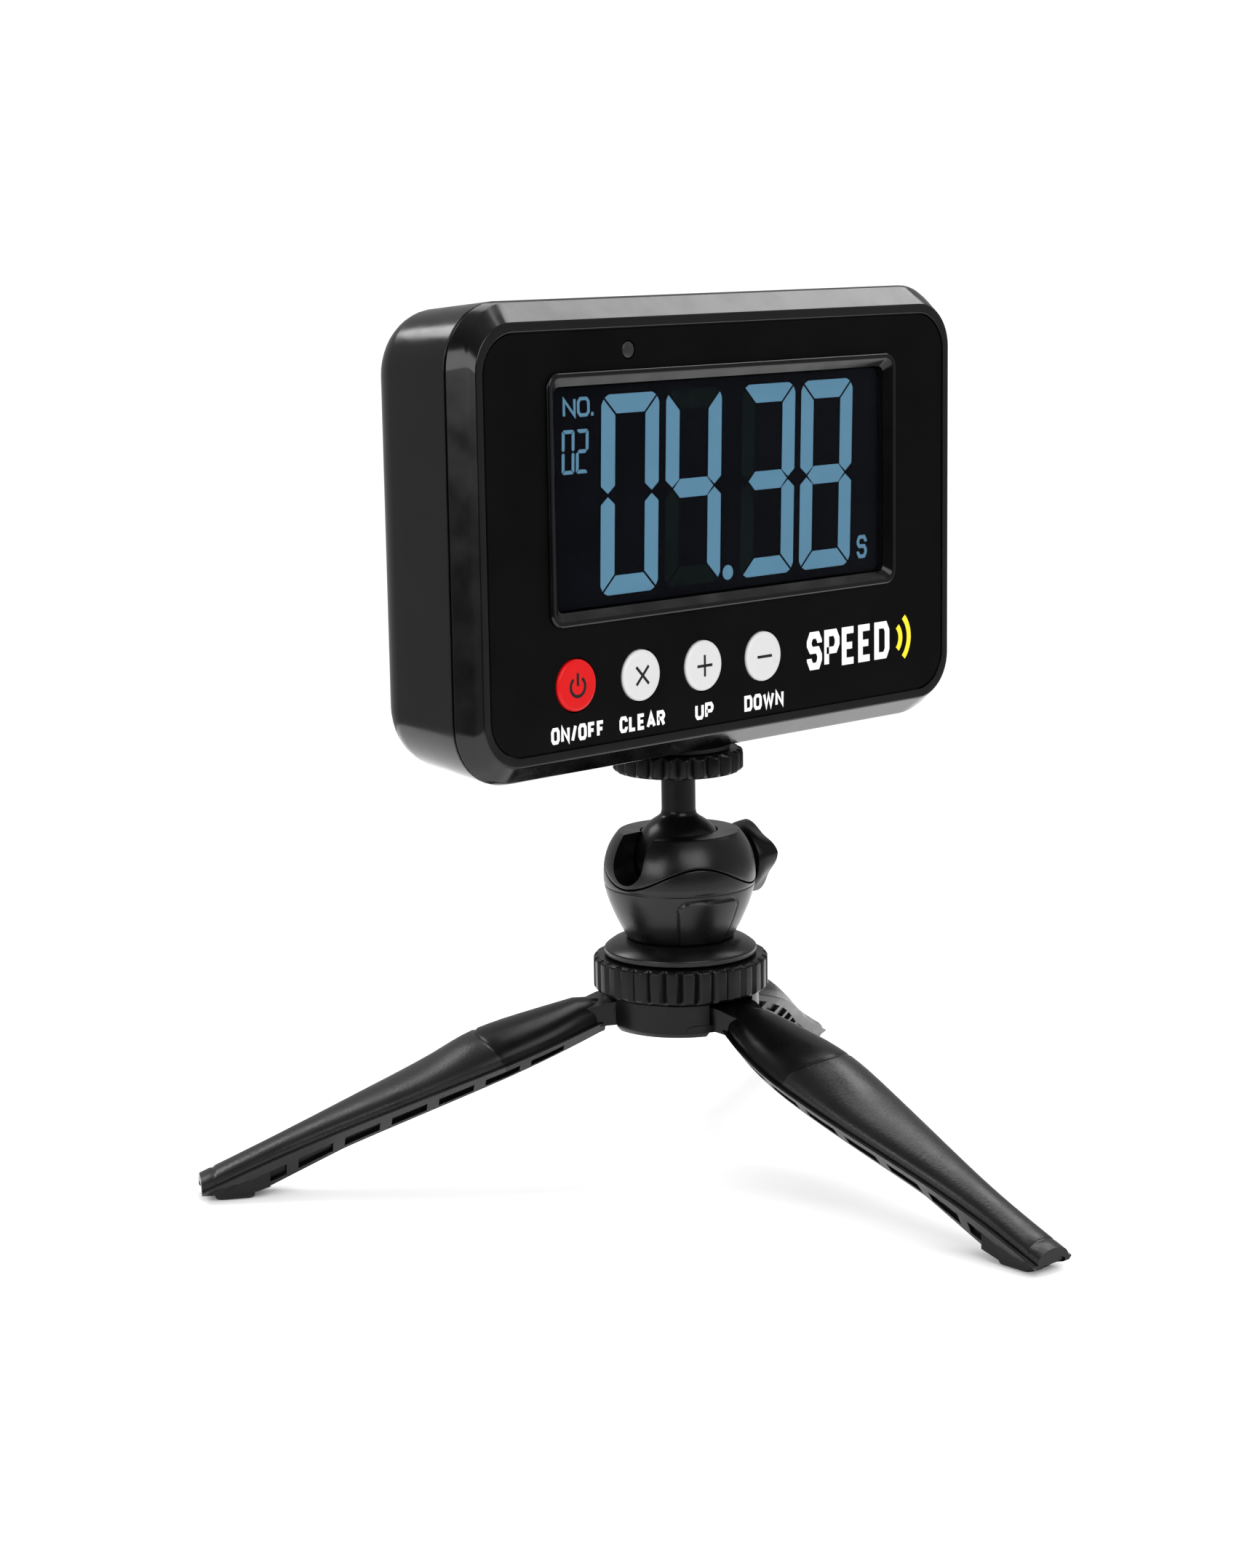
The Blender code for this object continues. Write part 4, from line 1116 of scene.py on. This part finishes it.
def add_hub():
    low = HUB_BOTTOM
    profile = (
        (HUB_R - 1.0, low), (HUB_R, low + 1.2), (HUB_R, 38.6), (15.3, 38.6), (15.3, 46.2),
        (6.3, 46.2), (6.3, 44.6), (3.3, 44.6), (3.3, 36.8), (5.0, 36.8), (5.0, 33.3),
        (13.4, 33.3), (13.4, low),
    )
    hub = turned("hub_body", profile, on_axis, 128, closed=True, reaches={0: 0.3, 1: 0.4, 2: 0.2})
    for angle in LEG_ANGLES.values():
        cut(hub, slot_tool(angle), pin_tool(angle, 1.2, 7.4))
    finished(hub, owner("hub"), "satin_black", "hub", bevel=0.15)


def add_hub_plate():
    low = HUB_BOTTOM
    profile = ((0.5, low), (13.0, low), (13.0, low + 1.4))
    plate = turned("hub_plate", profile, on_axis, 128, reaches={1: 0.2})
    for angle in LEG_ANGLES.values():
        cut(plate, slot_tool(angle))
    finished(plate, owner("hub_bottom_plate"), "satin_black", "hub_bottom_plate")


def add_hub_tab():
    """The arched key tab at the hub's lower edge."""
    rings = []
    middle, half = math.radians(-117.0), 4.4 / HUB_R
    inside, outside = HUB_R - 0.3, HUB_R + 0.22
    low = HUB_BOTTOM + 1.2
    for step in range(33):
        side = -1 + 2 * step / 32
        turn = middle + half * side
        top = low + 0.1 + 1.5 * math.sqrt(max(0.0, 1 - side**4))
        section = ((inside, low), (outside, low), (outside, top), (inside, top + 0.01))
        rings.append([on_axis(r * math.cos(turn), r * math.sin(turn), z) for r, z in section])
    finished(loft("hub_tab", rings), owner("hub"), "satin_black")


# Where a leg's smooth root meets its grained part.
SMOOTH_END = 40.0


def rim_height(out):
    """How high a leg's rims are above the ground."""
    share = (out - 60.0) / 40.0
    return BALL_Z - 47.35 - 14.9 * share - 1.3 * share**2 + 0.6 * share**3


def wall_foot(out):
    """How high a leg's side walls end above the ground."""
    share = (out - 20.0) / 86.0
    level = max(rim_height(out) - 2.7 - 4.0 * share, 0.9)
    return level + 0.2 * max(0.0, out - 101.0)


def leg_width(out):
    """Half a leg's width."""
    if out < 42.0:
        share = (42.0 - out) / 22.0
        return 11.2 - 5.1 * share * share
    share = min(1.0, (out - 42.0) / 52.0)
    return 11.2 - 5.7 * (3 * share**2 - 2 * share**3)


def wall_lean(out):
    """How far a side wall leans in from its rim to its lower edge."""
    return min(0.8 * (rim_height(out) - wall_foot(out)), leg_width(out) - 3.2)


def leg_section(place, out):
    """One cross-section: a crowned skin with flat rims on two leaning side walls, open below."""
    rim = rim_height(out)
    low = wall_foot(out)
    half = leg_width(out)
    foot = half - wall_lean(out)
    crown = 5.4 - 3.2 * (out - 20.0) / 86.0 - 0.45 * max(0.0, 22.0 - out)
    thick = 1.8
    bow = 5.0 * math.exp(-(((out - SMOOTH_END) / 12.0) ** 2))
    on_groove = abs(out - SMOOTH_END - 0.3) < 0.35 or abs(out - 101.9) < 0.3
    skin_crown = crown - (0.25 if on_groove else 0.0)

    def spot(side, z):
        ahead = bow * (1 - (side / half) ** 2) if z > rim else 0.0
        return place(out + ahead, side, z)

    points = [spot(-foot, low), spot(-half, rim - 0.25), spot(-half + 0.2, rim)]
    points += [spot(-half + 0.85, rim), spot(-half + 1.0, rim - 0.15)]
    for step in range(1, 24):
        turn = math.radians(180 * step / 24)
        rise = rim + 0.2 + skin_crown * math.sin(turn) ** 0.9
        points.append(spot(-(half - 1.0) * math.cos(turn), rise))
    points += [spot(half - 1.0, rim - 0.15), spot(half - 0.85, rim)]
    points += [spot(half - 0.2, rim), spot(half, rim - 0.25), spot(foot, low)]
    points.append(place(out, foot - thick, low))
    for step in range(9):
        turn = math.radians(180 * step / 8)
        rise = max(rim - 1.0, low + 0.3) + (crown - 1.0) * math.sin(turn)
        points.append(place(out, (half - thick) * math.cos(turn), rise))
    points.append(place(out, -(foot - thick), low))
    return points


def add_recesses(leg, place, sign):
    """The row of pockets in one leaning side wall, from near the hub to the foot."""
    recesses = bmesh.new()
    for index in range(7):
        start = 27.4 + index * 9.9
        length = 7.4
        rings = []
        for out in (start, start + length):
            half, lean = leg_width(out), wall_lean(out)
            low, high = wall_foot(out), rim_height(out)
            corners = []
            for share in (0.16, 0.6):
                side = half - lean * (1 - share)
                z = low + (high - low) * share
                corners += [(side - 0.55, z + 0.5), (side + 0.9, z - 0.9)]
            order = (0, 1, 3, 2)
            rings.append([place(out, sign * corners[i][0], corners[i][1]) for i in order])
        skin(recesses, rings)
    cut(leg, add_mesh("recesses", recesses, SATIN))


def leg_stations():
    """How far out the cross-sections are, closer together at the two grooves."""
    outs = [17.6, 18.6, 20.0, 23.0, 26.0, 29.0, 32.0, 35.0, 37.5, SMOOTH_END - 0.3]
    outs += [SMOOTH_END + step for step in (0.0, 0.3, 0.6, 1.0)]
    outs += [SMOOTH_END + 1.0 + 2.8 * step for step in range(1, 22)]
    outs += [101.4, 101.7, 101.9, 102.1, 102.5, 103.6, LEG_TIP_R]
    return outs


def make_leg_skin(place):
    """The leg's shell, with the grained finish from the end of its smooth root outwards."""
    stations = leg_stations()
    shape = bmesh.new()
    skin(shape, [leg_section(place, out) for out in stations])
    leg = add_mesh("leg", shape, SATIN)
    leg.data.materials.append(EXTRA["pebble"])
    per_ring = len(leg_section(place, SMOOTH_END))
    first_rough = stations.index(SMOOTH_END + 0.6)
    for face in leg.data.polygons:
        rings = [vertex // per_ring for vertex in face.vertices]
        if len(face.vertices) == 4 and min(rings) >= first_rough:
            face.material_index = 1
    return leg


def add_tongue(leg, place):
    """The hinge end, from the pin's barrel to inside the leg."""
    sections = ((LEG_PIN_R, 5.8, -2.6, 2.6), (17.5, 5.4, -2.8, 2.2), (24.5, 3.5, -4.0, 0.0))
    rings = []
    for out, half, low, high in sections:
        corners = ((-half, low), (half, low), (half, high), (-half, high))
        rings.append([place(out, u, LEG_PIN_Z + v) for u, v in corners])
    join(leg, loft("tongue", rings), pin_tool(0.0, 2.6, 5.8, 32))
    cut(leg, pin_tool(0.0, 1.3, 7.0))


def add_leg_end(leg, place):
    """The solid end, with the pocket that holds the rubber foot."""
    half = 4.6
    rings = []
    for out in (90.4, 95.6, 100.2, LEG_TIP_R - 0.4):
        low, rim = wall_foot(out) + 0.25, rim_height(out)
        corners = ((-half, low), (half, low), (half, rim - 0.3), (half * 0.6, rim + 1.2))
        corners += ((-half * 0.6, rim + 1.2), (-half, rim - 0.3))
        rings.append([place(out, u, z) for u, z in corners])
    join(leg, loft("end", rings))
    cut(leg, loft("pocket", box_rings(place, (93.2, -4.0, -3.0), (102.2, 4.0, 2.4))))


def make_leg():
    """One leg, built outwards along +X from the hub. The legs are copies of it."""
    place = leg_frame(0.0)
    leg = make_leg_skin(place)
    for sign in (-1, 1):
        add_recesses(leg, place, sign)
    add_tongue(leg, place)
    add_leg_end(leg, place)
    return leg


def add_legs():
    model = make_leg()
    for side, angle in LEG_ANGLES.items():
        leg = bpy.data.objects.new("tripod_leg_" + side, model.data.copy())
        bpy.context.scene.collection.objects.link(leg)
        about = Matrix.Translation(on_axis(0, 0, 0) * MM)
        leg.data.transform(about @ Matrix.Rotation(math.radians(angle), 4, "Z") @ about.inverted())
        finished(leg, side + "_leg", "satin_black", "leg_" + side)
        add_foot_pad(side, angle)
    bpy.data.objects.remove(model, do_unlink=True)


def add_foot_pad(side, angle):
    place = leg_frame(angle)
    middle = 97.7
    rings = []
    for z, grow in ((2.1, 0.0), (1.2, 0.0), (0.6, 0.0), (0.25, -0.15), (0.08, -0.35), (0.0, -0.6)):
        points = outline(4.2 + grow, 3.7 + grow, 1.2, (middle, 0.0), 6)
        rings.append([place(out, u, z) for out, u in points])
    finished(loft("pad_" + side, rings, FINISH["rubber"]), side + "_leg", "rubber", "foot_pad_" + side)


add_camera()
add_floor()
add_light()
dress_nodes()
add_front_frame()
add_front_panel()
add_panel_print()
add_window()
add_display_marks()
for button in BUTTONS:
    add_key(button)
    add_icon(button)
add_sensor()
add_rear_shell()
add_battery_cover()
knurled("tripod_wheel", "wheel", "mount_wheel", groove=1.2, count=24, share=0.84, bore=3.9)
add_ball()
add_upper_housing()
add_lower_housing()
add_clamp_knob()
add_pan_base()
knurled("knurled_ring", "ring", "lock_ring", groove=0.85, count=32, share=0.5, bore=15.6)
add_hub()
add_hub_plate()
add_hub_tab()
add_legs()
